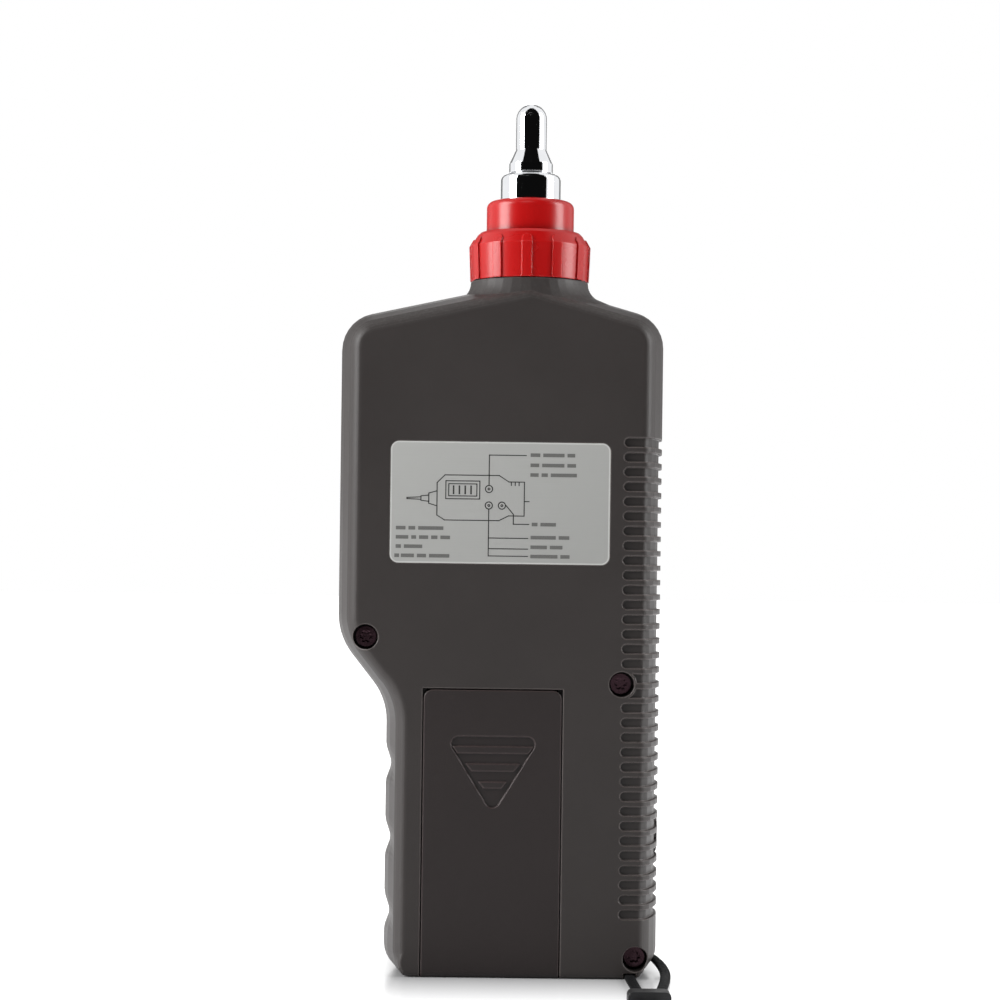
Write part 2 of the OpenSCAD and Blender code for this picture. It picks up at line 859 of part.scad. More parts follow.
// Leads that the case holds all the way, each at one x
lead_r = 0.6;
lead_gap = 2;
lead_bend = 3;
lead_parts = 3;
module lead(x, stops) {
    tube([for (p = stops) [x, p.x, p.y]], 2 * lead_r, 2 * lead_r, [1, 0, 0], lead_parts);
}
lead_out = [door_x + snap_l / 4, battery_mid, snap_top];
module lead_slot() {
    block([lead_out.x - lead_r - run_gap, lead_out.y, snap_top],
          [lead_out.x + lead_gap + lead_r + run_gap, lead_out.y + lead_gap + 2 * lead_r, tub_top + over]);
}
module battery_leads() {
    for (i = [0, 1])
        color(i == 0 ? "#b01818" : "#1a1a1a")
        lead(lead_out.x + i * lead_gap,
             [[lead_out.y + lead_gap, snap_top + run_gap], [lead_out.y + lead_gap, tub_top - lead_bend / 2],
              [lead_out.y + lead_gap + lead_r, tub_top + lead_bend / 2],
              [lead_out.y + lead_gap + lead_bend, tub_top + lead_bend + lead_r],
              [board_y - run_gap, tub_top + lead_bend + 2 * lead_r]]);
}

// Piezo sensor in the nose
can_r = 7.4;
can_t = 0.9;
can_h = 14.4;
can_z = spigot_z + flange_t + wall_t - can_h;
base_flange_t = 2;
base_z = can_z + can_h;
sleeve_step = base_z + base_flange_t + fit_gap;
ring_t = 1;
ring_r = 5.4;
mass_h = 5.6;
mass_r = 5.8;
bolt_r = 1.5;
bolt_head_r = 2.8;
bolt_head_t = 2;
bolt_in = 2.4;
lead_hole = 2;
module round_z(z, r, h) {
    translate([nose_x, 0, z])
        cylinder(r = r, h = h);
}
module sensor_can() {
    color(steel_col)
    difference() {
        round_z(can_z, can_r, can_h);
        round_z(can_z + can_t, can_r - can_t, can_h);
        round_z(can_z - over, lead_hole, can_h);
    }
}
module isolation_ring() {
    color("#2b2b2e")
    difference() {
        round_z(neck_z, can_bore - run_gap, spigot_h);
        round_z(neck_z - over, can_r + run_gap, spigot_h + 2 * over);
    }
}
module piezo_rings() {
    color("#d9cfae")
    for (i = [1, 2])
        difference() {
            round_z(base_z - i * (ring_t + run_gap), ring_r, ring_t);
            round_z(base_z - i * (ring_t + run_gap) - over, bolt_r + fit_gap, ring_t + 2 * over);
        }
}
mass_z = base_z - 2 * (ring_t + run_gap) - run_gap - mass_h;
module seismic_mass() {
    color("#a88c4a")
    difference() {
        round_z(mass_z, mass_r, mass_h);
        round_z(mass_z - over, bolt_r + fit_gap, mass_h + 2 * over);
    }
}
module sensor_bolt() {
    color(steel_col)
    union() {
        round_z(mass_z - run_gap - bolt_head_t, bolt_head_r, bolt_head_t);
        round_z(mass_z - run_gap - run_gap, bolt_r, base_z + bolt_in - mass_z);
    }
}

// Probe base: the chromed end of the sensor that shows above the sleeve, with a threaded socket
socket_r = 2.5;
socket_h = 8;
base_top = sleeve_z + probe_base_h;
base_edge = 1.35;
module probe_base() {
    color(chrome_col)
    translate([nose_x, 0, 0])
        rotate_extrude()
            polygon([[bolt_r + run_gap, base_z], [can_r, base_z], [can_r, base_z + base_flange_t],
                     [probe_base_r, base_z + base_flange_t],
                     for (i = [0:arc_steps])
                         let (a = 90 * i / arc_steps)
                         [probe_base_r - base_edge + base_edge * cos(a),
                          base_top - base_edge + base_edge * sin(a)],
                     [socket_r, base_top], [socket_r, base_top - socket_h],
                     [0, base_top - socket_h], [0, base_z + bolt_in + fit_gap],
                     [bolt_r + run_gap, base_z + bolt_in + fit_gap]]);
}
module nose_sleeve() {
    color(red_col)
    translate([nose_x, 0, 0])
        rotate_extrude()
            polygon([[can_r + fit_gap, spigot_z + fit_gap], [flange_r, spigot_z + fit_gap],
                     [flange_r, flange_z], [sleeve_r, flange_z],
                     for (i = [0:arc_steps])
                         let (a = 90 * i / arc_steps)
                         [sleeve_r - sleeve_round + sleeve_round * cos(a),
                          sleeve_z - sleeve_round + sleeve_round * sin(a)],
                     [sleeve_bore, sleeve_z], [sleeve_bore, sleeve_step],
                     [can_r + fit_gap, sleeve_step]]);
}
module collar_washer() {
    color("#26262a")
    difference() {
        round_z(flange_z, flange_r, washer_t);
        round_z(flange_z - over, sleeve_r + fit_gap, washer_t + 2 * over);
    }
}

// Collar nut with its grip ribs
collar_low = 0.3;
collar_lip = 1.96;
collar_neck = sleeve_r + collar_lip;
collar_slope = 2.9;
rib_out = 0.35;
rib_w = 2.1;
rib_top = 9;
rib_turn = 86;
collar_top = collar_z + collar_h;
module collar_skin(grow) {
    translate([nose_x, 0, 0])
        rotate_extrude()
            polygon([[0, collar_z], [collar_r - collar_low + grow, collar_z],
                     [collar_r + grow, collar_top - collar_slope],
                     [collar_neck + grow, collar_top - key_edge], [collar_neck - key_edge + grow, collar_top],
                     [0, collar_top]]);
}
module collar_nut() {
    color(red_col)
    difference() {
        union() {
            collar_skin(0);
            intersection() {
                collar_skin(rib_out);
                for (i = [0:collar_ribs / 2 - 1])
                    translate([nose_x, 0, collar_z])
                        rotate(rib_turn + i * 360 / collar_ribs)
                            along_y(-case_w / 2, case_w / 2)
                                union() {
                                    translate([-rib_w / 2, 0])
                                        square([rib_w, rib_top - rib_w / 2]);
                                    translate([0, rib_top - rib_w / 2])
                                        circle(r = rib_w / 2);
                                }
            }
        }
        round_z(collar_z - over, spigot_r + fit_gap, washer_z + fit_gap - collar_z + over);
        round_z(collar_z, sleeve_r + fit_gap, collar_h + over);
    }
}

// Tip that screws into the probe base
tip_washer_t = 0.3;
tip_washer_r = 4.2;
shank_r = socket_r - run_gap;
shank_h = 7;
tip_ring_r = 4.64;
tip_ring_h = 1.9;
tip_cone_h = 3;
tip_z = base_top + tip_washer_t;
module tip_washer() {
    color(steel_col)
    difference() {
        round_z(base_top, tip_washer_r, tip_washer_t);
        round_z(base_top - over, shank_r + run_gap, tip_washer_t + 2 * over);
    }
}
module probe_tip() {
    top = base_top + tip_h;
    color(chrome_col)
    translate([nose_x, 0, 0])
        rotate_extrude()
            polygon([[0, tip_z - shank_h], [shank_r, tip_z - shank_h], [shank_r, tip_z],
                     [tip_ring_r, tip_z], [tip_ring_r, tip_z + tip_ring_h],
                     [tip_r, tip_z + tip_ring_h + tip_cone_h],
                     for (i = [0:2 * arc_steps])
                         let (a = 90 * i / (2 * arc_steps))
                         [tip_r * cos(a), top - tip_r + tip_r * sin(a)]]);
}
module sensor_lead() {
    color("#6b6d70")
    for (i = [-1, 1])
        lead(nose_x + i * lead_r * 3 / 2,
             [[0, can_z + can_t + lead_gap], [0, can_z - lead_gap], [lead_gap / 2, can_z - 2 * lead_bend],
              [plug_y - lead_gap / 3, plug_z + plug_size.z + 2 * lead_bend],
              [plug_y, plug_z + plug_size.z + run_gap]]);
}

// Battery door with its arrow and its tongues, and the foam pad behind it
arrow_w = 19.9;
arrow_h = 14.65;
arrow_drop = 9.8;
arrow_top = door_h - arrow_drop;
arrow_r = 1.6;
arrow_d = 0.5;
arrow_shift = 0.15;
bar_drops = [2.1, 5.7, 9.4];
bar_heights = [1.4, 1.5, 1.3];
bar_wide = [16.7, 11.1, 5.7];
bar_narrow = [14.7, 8.6, 3.7];
door_r = 1.8;
module arrow_field() {
    tops = [[-arrow_w / 2, arrow_top], [arrow_w / 2, arrow_top], [0, arrow_top - arrow_h - arrow_r]];
    polygon([for (i = [0:2])
                 let (now = tops[2 - i], before = tops[(3 - i) % 3], after = tops[(4 - i) % 3])
                 each [for (p = rounded(before, now, after, arrow_r, arc_steps)) [p[0], p[1]]]]);
}
module battery_door() {
    left = door_x - door_w / 2 + door_gap;
    right = door_x + door_w / 2 - door_gap;
    top = door_h - door_gap;
    color(door_col)
    difference() {
        union() {
            intersection() {
                along_y(-rear_d, rear_in)
                    soft_box([left, -door_r - over], [right, top], door_r);
                along_x(left - over, right + over)
                    polygon([[rear_in, 0], [rear_in, top + over], [-rear_d, top + over],
                             for (i = [0:arc_steps])
                                 let (a = 180 + 90 * i / arc_steps)
                                 [base_round - rear_d + base_round * cos(a),
                                  base_round + base_round * sin(a)]]);
            }
            for (side = [-1, 1])
                block([door_x + min(side * bay_w / 2, side * (door_w / 2 + tongue_w)),
                       rear_in - fit_gap, 0],
                      [door_x + max(side * bay_w / 2, side * (door_w / 2 + tongue_w)),
                       rear_in + tongue_t, door_h + tongue_w]);
        }
        along_y(-rear_d - over, arrow_d - rear_d)
            translate([door_x + arrow_shift, 0])
                difference() {
                    arrow_field();
                    for (i = [0:len(bar_drops) - 1]) {
                        top = arrow_top - bar_drops[i];
                        polygon([[-bar_wide[i] / 2, top], [bar_wide[i] / 2, top],
                                 [bar_narrow[i] / 2, top - bar_heights[i]],
                                 [-bar_narrow[i] / 2, top - bar_heights[i]]]);
                    }
                }
    }
}
pad_t = 0.25;
pad_in = 4;
module battery_pad() {
    color("#3a3a3e")
    block([door_x - battery_w / 2 + pad_in, rear_in, bay_floor + 2 * pad_in],
          [door_x + battery_w / 2 - pad_in, rear_in + pad_t, battery_top - pad_in]);
}

// Wrist strap: out of the corner window, back over the floor and round again, with a slider bead.
// Its route is measured from the ribbed side.
strap_route = [[-2.65, 0, 3.6], [-1.4, -0.8, 3.1], [0.3, -3.4, 2], [1.2, -7, 1.1], [1.3, -12, 0.6],
               [0.6, -20, 0.55], [-0.7, -30, 0.55], [-2.2, -40, 0.55], [-3.4, -49, 0.55],
               [-3.6, -56, 0.55], [-2.5, -64, 0.55], [-2.5, -73, 0.55], [-5.5, -83, 0.55],
               [-12, -92, 0.55], [-21.5, -98, 0.55], [-32, -99.5, 0.55], [-42.5, -97, 0.55],
               [-51, -90.5, 0.55], [-55, -81, 0.55], [-53.5, -71.5, 0.55], [-47, -64.5, 0.55],
               [-37.5, -62, 0.55], [-27, -61.8, 0.55], [-17.5, -61, 0.55], [-10.6, -58.6, 0.55],
               [-7, -54, 0.55], [-5.9, -48, 0.55], [-5.6, -41, 0.55], [-5.8, -32, 0.55],
               [-6.1, -23, 0.55], [-6.3, -15, 0.55], [-6.3, -8, 0.55], [-6.3, 0, 0.55],
               [-6.3, 2.9, 0.55]];
module wrist_strap() {
    color(black_col)
    translate([half_w, 0, 0])
        tube(strap_route, strap_w, strap_t, [0, 0, 1], strap_parts);
}
// Smooth curve through the route's points
function spline(p, i, t) =
    let (n = len(p),
         a = p[max(0, i - 1)], b = p[i], c = p[i + 1], d = p[min(n - 1, i + 2)])
    (2 * b + (c - a) * t + (2 * a - 5 * b + 4 * c - d) * t * t + (3 * b - a - 3 * c + d) * t * t * t) / 2;
function curve(p, parts) =
    [for (i = [0:len(p) - 2], k = [0:parts - 1]) spline(p, i, k / parts), p[len(p) - 1]];
strap_parts = 2;
// Tube of an oval section along a smooth curve; its width is square to the given direction
module tube(route, wide, thick, square_to, parts) {
    path = curve(route, parts);
    n = len(path);
    sides = 8;
    rings = [for (i = [0:n - 1])
        let (t = unit(path[min(n - 1, i + 1)] - path[max(0, i - 1)]),
             across = unit(cross(t, square_to)),
             up = cross(across, t))
        for (k = [0:sides - 1])
            let (a = 360 * k / sides)
            path[i] + across * wide / 2 * cos(a) + up * thick / 2 * sin(a)];
    skin = [for (i = [0:n - 2], k = [0:sides - 1])
        let (a = i * sides + k, b = i * sides + (k + 1) % sides)
        each [[a, b + sides, b], [a, a + sides, b + sides]]];
    ends = [for (k = [1:sides - 2])
        each [[0, k, k + 1], [(n - 1) * sides, (n - 1) * sides + k + 1, (n - 1) * sides + k]]];
    polyhedron(points = rings, faces = concat(skin, ends));
}
slider_l = 4.6;
slider_w = 8.4;
slider_t = 3.2;
slider_y = -47.6;
slider_in = 4.5;
slider_slot = 5.6;
module strap_slider() {
    color("#17171a")
    translate([half_w - slider_in, slider_y, 0])
        difference() {
            along_y(-slider_l / 2, slider_l / 2)
                soft_box([-slider_w / 2, 0], [slider_w / 2, slider_t], slider_t / 3);
            block([-slider_slot / 2, -slider_l, -over], [slider_slot / 2, slider_l, strap_t + strap_gap]);
        }
}

rear_shell();
front_shell();
case_screws();
rear_label();
lcd_window();
lcd_holder();
lcd_glass();
contact_strips();
main_board();
circuit_parts();
board_screws();
key_switches();
front_panel();
output_jack();
battery();
battery_snap();
battery_leads();
sensor_can();
isolation_ring();
probe_base();
piezo_rings();
seismic_mass();
sensor_bolt();
sensor_lead();
nose_sleeve();
wrist_strap();
strap_slider();
battery_door();
battery_pad();
measure_button();
measure_plunger();
function_button();
function_plunger();
range_button();
range_plunger();
collar_washer();
collar_nut();
tip_washer();
probe_tip();
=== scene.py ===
"""Looks of a handheld vibration meter that stands upright and shows its back."""

import json
import math

import bmesh
import bpy
from bpy.props import FloatProperty, FloatVectorProperty, PointerProperty
from bpy.types import Operator, Panel, PropertyGroup
from mathutils import Matrix, Vector

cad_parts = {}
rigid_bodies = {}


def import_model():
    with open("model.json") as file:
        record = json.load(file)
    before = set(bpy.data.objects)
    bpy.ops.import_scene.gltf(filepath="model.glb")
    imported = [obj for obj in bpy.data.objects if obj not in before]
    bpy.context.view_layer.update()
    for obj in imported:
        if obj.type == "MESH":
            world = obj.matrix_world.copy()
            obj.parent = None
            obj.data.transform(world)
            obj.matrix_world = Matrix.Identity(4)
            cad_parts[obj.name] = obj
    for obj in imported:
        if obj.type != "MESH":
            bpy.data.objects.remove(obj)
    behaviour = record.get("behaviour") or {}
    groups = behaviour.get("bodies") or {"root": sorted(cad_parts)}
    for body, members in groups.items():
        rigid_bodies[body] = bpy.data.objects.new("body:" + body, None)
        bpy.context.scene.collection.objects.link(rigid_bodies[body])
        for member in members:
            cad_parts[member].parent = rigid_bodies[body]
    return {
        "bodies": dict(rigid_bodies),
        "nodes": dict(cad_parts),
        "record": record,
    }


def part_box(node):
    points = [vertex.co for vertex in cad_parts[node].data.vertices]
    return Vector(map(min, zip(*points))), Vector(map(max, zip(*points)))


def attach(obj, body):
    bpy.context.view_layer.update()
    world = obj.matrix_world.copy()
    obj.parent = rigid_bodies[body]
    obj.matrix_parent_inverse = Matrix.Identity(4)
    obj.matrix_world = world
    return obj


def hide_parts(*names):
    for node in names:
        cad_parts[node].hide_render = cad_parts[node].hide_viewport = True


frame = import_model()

bl_info = {
    "name": "Vibration meter looks",
    "version": (1, 0, 0),
    "blender": (4, 5, 0),
    "location": "View3D > Sidebar > Meter",
    "description": "Finishes, wrist strap, label print and studio of a handheld vibration meter",
    "category": "Object",
}

MM = 0.001
# Blender's start-up cube, lamp and camera go
KEPT = set(frame["nodes"].values()) | set(frame["bodies"].values())
for spare in [o for o in bpy.data.objects if o not in KEPT]:
    bpy.data.objects.remove(spare)
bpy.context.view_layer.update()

# The strap's route in millimetres from the ribbed side's lower corner, as the part's source has it
STRAP_ROUTE = [
    (-2.65, 0, 3.6),
    (-1.4, -0.8, 3.1),
    (0.3, -3.4, 2),
    (1.2, -7, 1.1),
    (1.3, -12, 0.6),
    (0.6, -20, 0.55),
    (-0.7, -30, 0.55),
    (-2.2, -40, 0.55),
    (-3.4, -49, 0.55),
    (-3.6, -56, 0.55),
    (-2.5, -64, 0.55),
    (-2.5, -73, 0.55),
    (-5.5, -83, 0.55),
    (-12, -92, 0.55),
    (-21.5, -98, 0.55),
    (-32, -99.5, 0.55),
    (-42.5, -97, 0.55),
    (-51, -90.5, 0.55),
    (-55, -81, 0.55),
    (-53.5, -71.5, 0.55),
    (-47, -64.5, 0.55),
    (-37.5, -62, 0.55),
    (-27, -61.8, 0.55),
    (-17.5, -61, 0.55),
    (-10.6, -58.6, 0.55),
    (-7, -54, 0.55),
    (-5.9, -48, 0.55),
    (-5.6, -41, 0.55),
    (-5.8, -32, 0.55),
    (-6.1, -23, 0.55),
    (-6.3, -15, 0.55),
    (-6.3, -8, 0.55),
    (-6.3, 0, 0.55),
    (-6.3, 2.9, 0.55),
]
STRAP_START_X = 34


def size_of(name, text, default, low, high):
    """A length that a user may change, in metres."""
    return FloatProperty(
        name=name,
        description=text,
        default=default,
        min=low,
        max=high,
        unit="LENGTH",
        precision=5,
    )


def colour_of(name, text, default):
    """A linear colour that a user may change."""
    return FloatVectorProperty(
        name=name, description=text, subtype="COLOR", size=3, min=0, max=1, default=default
    )


class MeterSizes(PropertyGroup):
    """Sizes of the pieces that the looks add to the solids."""

    strap_width: size_of("Strap width", "Width of the flat wrist strap", 0.0022, 0.001, 0.006)
    strap_thickness: size_of(
        "Strap thickness", "Thickness of the wrist strap", 0.0011, 0.0005, 0.002
    )
    braid_relief: size_of(
        "Braid relief", "How far the strap's plaits stand out", 0.00012, 0, 0.0003
    )
    braid_pitch: size_of("Braid pitch", "Length of one plait of the strap", 0.0021, 0.001, 0.006)
    print_height: size_of("Print height", "How far the label's ink stands out", 0.00002, 0, 0.0001)
    line_width: size_of("Line width", "Width of the label's printed lines", 0.0002, 0.00005, 0.001)
    case_grain: size_of("Case grain", "Size of the case's moulded grain", 0.00034, 0.0001, 0.002)
    nose_grain: size_of("Nose grain", "Size of the grain on the red pieces", 0.0006, 0.0001, 0.002)
    # The edges within this reach are lightened as rubbed wear and painted highlights
    edge_reach: size_of("Edge reach", "How far rubbed edges reach into a face", 0.00045, 0, 0.002)
    camera_distance: size_of(
        "Camera distance", "Distance from the camera to the meter's middle", 0.55, 0.2, 2
    )
    camera_height: size_of("Camera height", "Height of the camera", 0.0853, 0, 0.5)
    camera_side: size_of("Camera side", "Place of the camera across the meter", -0.0056, -0.3, 0.3)


class MeterColours(PropertyGroup):
    """Colours of the finishes, as linear values."""

    case: colour_of("Case", "Plastic of the two case halves", (0.02953, 0.02486, 0.02347))
    door: colour_of("Door", "Plastic of the battery door", (0.01596, 0.01105, 0.01074))
    nose: colour_of("Nose", "Red plastic of sleeve and collar nut", (0.4451, 0.0035, 0.0035))
    label: colour_of("Label", "Silver film of the label", (0.400, 0.403, 0.388))
    ink: colour_of("Ink", "Print on the label", (0.022, 0.022, 0.021))
    chrome: colour_of("Chrome", "Plating of the probe", (0.86, 0.87, 0.89))
    strap: colour_of("Strap", "Yarn of the wrist strap", (0.0035, 0.0035, 0.004))
    floor: colour_of("Floor", "Surface that the meter stands on", (0.86, 0.86, 0.87))


# Shader helpers


def put(tree, kind, inputs=None, **settings):
    """Adds one shader node, then sets it and wires or fills its inputs."""
    made = tree.nodes.new(kind)
    for key, value in settings.items():
        setattr(made, key, value)
    for key, value in (inputs or {}).items():
        if isinstance(value, bpy.types.NodeSocket):
            tree.links.new(value, made.inputs[key])
        else:
            made.inputs[key].default_value = value
    return made


def sums(tree, operation, *values, clamp=False):
    """One step of arithmetic on values or sockets."""
    made = put(
        tree, "ShaderNodeMath", dict(enumerate(values)), operation=operation, use_clamp=clamp
    )
    return made.outputs[0]


def mixed(tree, share, first, second):
    """A colour between two others."""
    made = put(tree, "ShaderNodeMix", {"Factor": share}, data_type="RGBA")
    # Sockets 6 and 7 take the two colours, and output 2 gives the mixed one
    for socket, value in zip((made.inputs[6], made.inputs[7]), (first, second)):
        if isinstance(value, bpy.types.NodeSocket):
            tree.links.new(value, socket)
        else:
            socket.default_value = (*value, 1)
    return made.outputs[2]


def ranged(tree, value, low, high, to_low, to_high):
    """A value carried from one range to another and kept inside it."""
    limits = {0: value, 1: low, 2: high, 3: to_low, 4: to_high}
    return put(tree, "ShaderNodeMapRange", limits, clamp=True).outputs[0]


def place_of(tree):
    """The surface point, then its x, y and z, in metres and in the meter's own frame."""
    point = put(tree, "ShaderNodeTexCoord").outputs["Object"]
    split = put(tree, "ShaderNodeSeparateXYZ", {0: point})
    return point, split.outputs[0], split.outputs[1], split.outputs[2]


def between(tree, value, low, high):
    """1 where a value lies between two bounds, else 0."""
    return sums(
        tree,
        "MULTIPLY",
        sums(tree, "GREATER_THAN", value, low),
        sums(tree, "LESS_THAN", value, high),
    )


def beyond(tree, value, middle, half):
    """How far a value lies outside a span round its middle; negative inside it."""
    off = sums(tree, "ABSOLUTE", sums(tree, "SUBTRACT", value, middle))
    return sums(tree, "SUBTRACT", off, half)


def outside(tree, across, along):
    """The distance that two parts give together, where only what is positive counts."""
    kept = {0: sums(tree, "MAXIMUM", across, 0), 1: 0, 2: sums(tree, "MAXIMUM", along, 0)}
    both = put(tree, "ShaderNodeCombineXYZ", kept).outputs[0]
    return put(tree, "ShaderNodeVectorMath", {0: both}, operation="LENGTH").outputs["Value"]


def noise(tree, place, scale, detail, **more):
    """Noise at a place, from about 0.3 to 0.7."""
    inputs = {"Vector": place, "Scale": scale, "Detail": detail, **more}
    return put(tree, "ShaderNodeTexNoise", inputs).outputs[0]


def seen_rays(tree):
    """1 for a ray that shows a surface to the camera, in a gloss or through a window."""
    rays = put(tree, "ShaderNodeLightPath").outputs
    shown = sums(tree, "MAXIMUM", rays["Is Camera Ray"], rays["Is Glossy Ray"])
    return sums(tree, "MAXIMUM", shown, rays["Is Transmission Ray"])


def effect(name, inputs, outputs):
    """An empty shader node group with named inputs and outputs."""
    group = bpy.data.node_groups.new(name, "ShaderNodeTree")
    for label, kind, default in inputs:
        socket = group.interface.new_socket(label, in_out="INPUT", socket_type=kind)
        socket.default_value = default
    for label, kind in outputs:
        group.interface.new_socket(label, in_out="OUTPUT", socket_type=kind)
    return group, put(group, "NodeGroupInput"), put(group, "NodeGroupOutput")


def moulded_grain():
    """Spark-eroded mould texture: a height for bump, and a broad shade from handling."""
    group, given, out = effect(
        "moulded grain",
        [("Size", "NodeSocketFloat", 0.0004)],
        [("Height", "NodeSocketFloat"), ("Shade", "NodeSocketFloat")],
    )
    point = put(group, "ShaderNodeTexCoord").outputs["Object"]
    fine_share, cell_share, cell_size, handled = 0.7, 0.3, 0.8, 42
    scale = sums(group, "DIVIDE", 1, given.outputs["Size"])
    fine = noise(group, point, scale, 2, Roughness=0.55)
    cells = put(
        group,
        "ShaderNodeTexVoronoi",
        {"Vector": point, "Scale": sums(group, "MULTIPLY", scale, cell_size)},
        feature="SMOOTH_F1",
    ).outputs[0]
    height = sums(
        group,
        "ADD",
        sums(group, "MULTIPLY", fine, fine_share),
        sums(group, "MULTIPLY", cells, cell_share),
    )
    broad = noise(group, point, handled, 4, Roughness=0.6)
    group.links.new(height, out.inputs["Height"])
    group.links.new(ranged(group, broad, 0.3, 0.7, 0, 1), out.inputs["Shade"])
    return group


def edge_wear_and_highlight():
    """Edges for rubbed wear and for painted highlights: a mask from how far a rounded normal leaves
    the true one.
    """
    group, given, out = effect(
        "edge wear and highlight",
        [("Reach", "NodeSocketFloat", 0.0004), ("Amount", "NodeSocketFloat", 1)],
        [("Mask", "NodeSocketFloat"), ("Normal", "NodeSocketVector")],
    )
    faint, full, patches, least = 0.008, 0.11, 900, 0.75
    rounded = put(group, "ShaderNodeBevel", {"Radius": given.outputs["Reach"]}, samples=6)
    true = put(group, "ShaderNodeNewGeometry").outputs["Normal"]
    along = put(
        group, "ShaderNodeVectorMath", {0: rounded.outputs[0], 1: true}, operation="DOT_PRODUCT"
    ).outputs["Value"]
    bent = ranged(group, sums(group, "SUBTRACT", 1, along), faint, full, 0, 1)
    point = put(group, "ShaderNodeTexCoord").outputs["Object"]
    patchy = noise(group, point, patches, 3)
    broken = sums(group, "MULTIPLY", bent, ranged(group, patchy, 0.25, 0.75, least, 1))
    group.links.new(
        sums(group, "MULTIPLY", broken, given.outputs["Amount"], clamp=True), out.inputs["Mask"]
    )
    group.links.new(rounded.outputs[0], out.inputs["Normal"])
    return group


def settled_dust():
    """Thin dust on upward faces, in specks and a light veil."""
    group, given, out = effect(
        "settled dust",
        [("Amount", "NodeSocketFloat", 0.1)],
        [("Mask", "NodeSocketFloat")],
    )
    up = put(
        group, "ShaderNodeSeparateXYZ", {0: put(group, "ShaderNodeNewGeometry").outputs["Normal"]}
    ).outputs[2]
    point = put(group, "ShaderNodeTexCoord").outputs["Object"]
    steepest, speck_scale, thin = 0.2, 1400, 0.1
    specks = noise(group, point, speck_scale, 2)
    veil = sums(
        group,
        "MULTIPLY",
        ranged(group, up, steepest, 1, 0, 1),
        ranged(group, specks, 0.45, 0.7, thin, 1),
    )
    group.links.new(
        sums(group, "MULTIPLY", veil, given.outputs["Amount"], clamp=True), out.inputs["Mask"]
    )
    return group


def deep_hollows():
    """Hollows such as slots and wells: a mask for painted shade, where little light gets in."""
    group, given, out = effect(
        "deep hollows",
        [("Depth", "NodeSocketFloat", 0.002), ("Amount", "NodeSocketFloat", 1)],
        [("Mask", "NodeSocketFloat")],
    )
    open_share = put(
        group, "ShaderNodeAmbientOcclusion", {"Distance": given.outputs["Depth"]}, samples=8
    ).outputs["AO"]
    closed, clear = 0.45, 0.9
    hollow = ranged(group, open_share, closed, clear, 1, 0)
    group.links.new(
        sums(group, "MULTIPLY", hollow, given.outputs["Amount"]), out.inputs["Mask"]
    )
    return group


EFFECTS = {}


def use(tree, name, **inputs):
    """Places a shared effect in a material with its own values."""
    if name not in EFFECTS:
        EFFECTS[name] = {
            "grain": moulded_grain,
            "wear": edge_wear_and_highlight,
            "dust": settled_dust,
            "hollows": deep_hollows,
        }[name]()
    made = tree.nodes.new("ShaderNodeGroup")
    made.node_tree = EFFECTS[name]
    for key, value in inputs.items():
        made.inputs[key.capitalize()].default_value = value
    return made.outputs


def finish_of(slot):
    """A new material for a slot, with its tree and its Principled BSDF."""
    material = bpy.data.materials.new(slot)
    material.use_nodes = True
    tree = material.node_tree
    return material, tree, tree.nodes["Principled BSDF"]


def feed(tree, shader, **inputs):
    """Wires or fills sockets of a shader: Base_Color stands for Base Color."""
    for key, value in inputs.items():
        socket = shader.inputs[key.replace("_", " ")]
        if isinstance(value, bpy.types.NodeSocket):
            tree.links.new(value, socket)
        elif isinstance(value, tuple) and len(value) == 3:
            socket.default_value = (*value, 1)
        else:
            socket.default_value = value


def bump(tree, height, distance, strength=1.0, normal=None):
    """Relief of a given depth in metres."""
    inputs = {"Height": height, "Distance": distance, "Strength": strength}
    if normal is not None:
        inputs["Normal"] = normal
    return put(tree, "ShaderNodeBump", inputs).outputs[0]


def scaled(colour, share):
    """A colour made lighter or darker by a share."""
    return tuple(min(1.0, c * share) for c in colour)


DUST = (0.5, 0.49, 0.47)


def moulded_plastic(
    slot, colour, rough, grain, depth, wear=0.5, reach=0.00035, dust=0.05, rub_and_highlight=1.9, shine=0.5
):
    """Injection-moulded plastic with grain, painted shade in hollows, rubbed edges with painted
    highlights, handling and dust.
    """
    handling, rough_spread, polish = 0.06, 0.03, 0.1
    hollow_depth, hollow_amount, hollow_shade = 0.0022, 0.7, 0.25
    material, tree, shader = finish_of(slot)
    texture = use(tree, "grain", size=grain)
    edges = use(tree, "wear", reach=reach, amount=wear)
    veil = use(tree, "dust", amount=dust)
    body = mixed(
        tree, texture["Shade"], scaled(colour, 1 - handling), scaled(colour, 1 + handling)
    )
    hollows = use(tree, "hollows", depth=hollow_depth, amount=hollow_amount)
    # Painted shade: hollows are darkened towards a quarter of the colour
    hollow_shaded = mixed(tree, hollows["Mask"], body, scaled(colour, hollow_shade))
    # Rubbed wear and painted highlights: edges are lightened, on the case far enough to stand for
    # highlights on rounded rims
    rubbed_and_highlit = mixed(tree, edges["Mask"], hollow_shaded, scaled(colour, rub_and_highlight))
    feed(
        tree,
        shader,
        Base_Color=mixed(tree, veil["Mask"], rubbed_and_highlit, DUST),
        Roughness=sums(
            tree,
            "SUBTRACT",
            ranged(tree, texture["Shade"], 0, 1, rough - rough_spread, rough + rough_spread),
            sums(tree, "MULTIPLY", edges["Mask"], polish),
        ),
        Normal=bump(tree, texture["Height"], depth, normal=edges["Normal"]),
        Specular_IOR_Level=shine,
    )
    return material


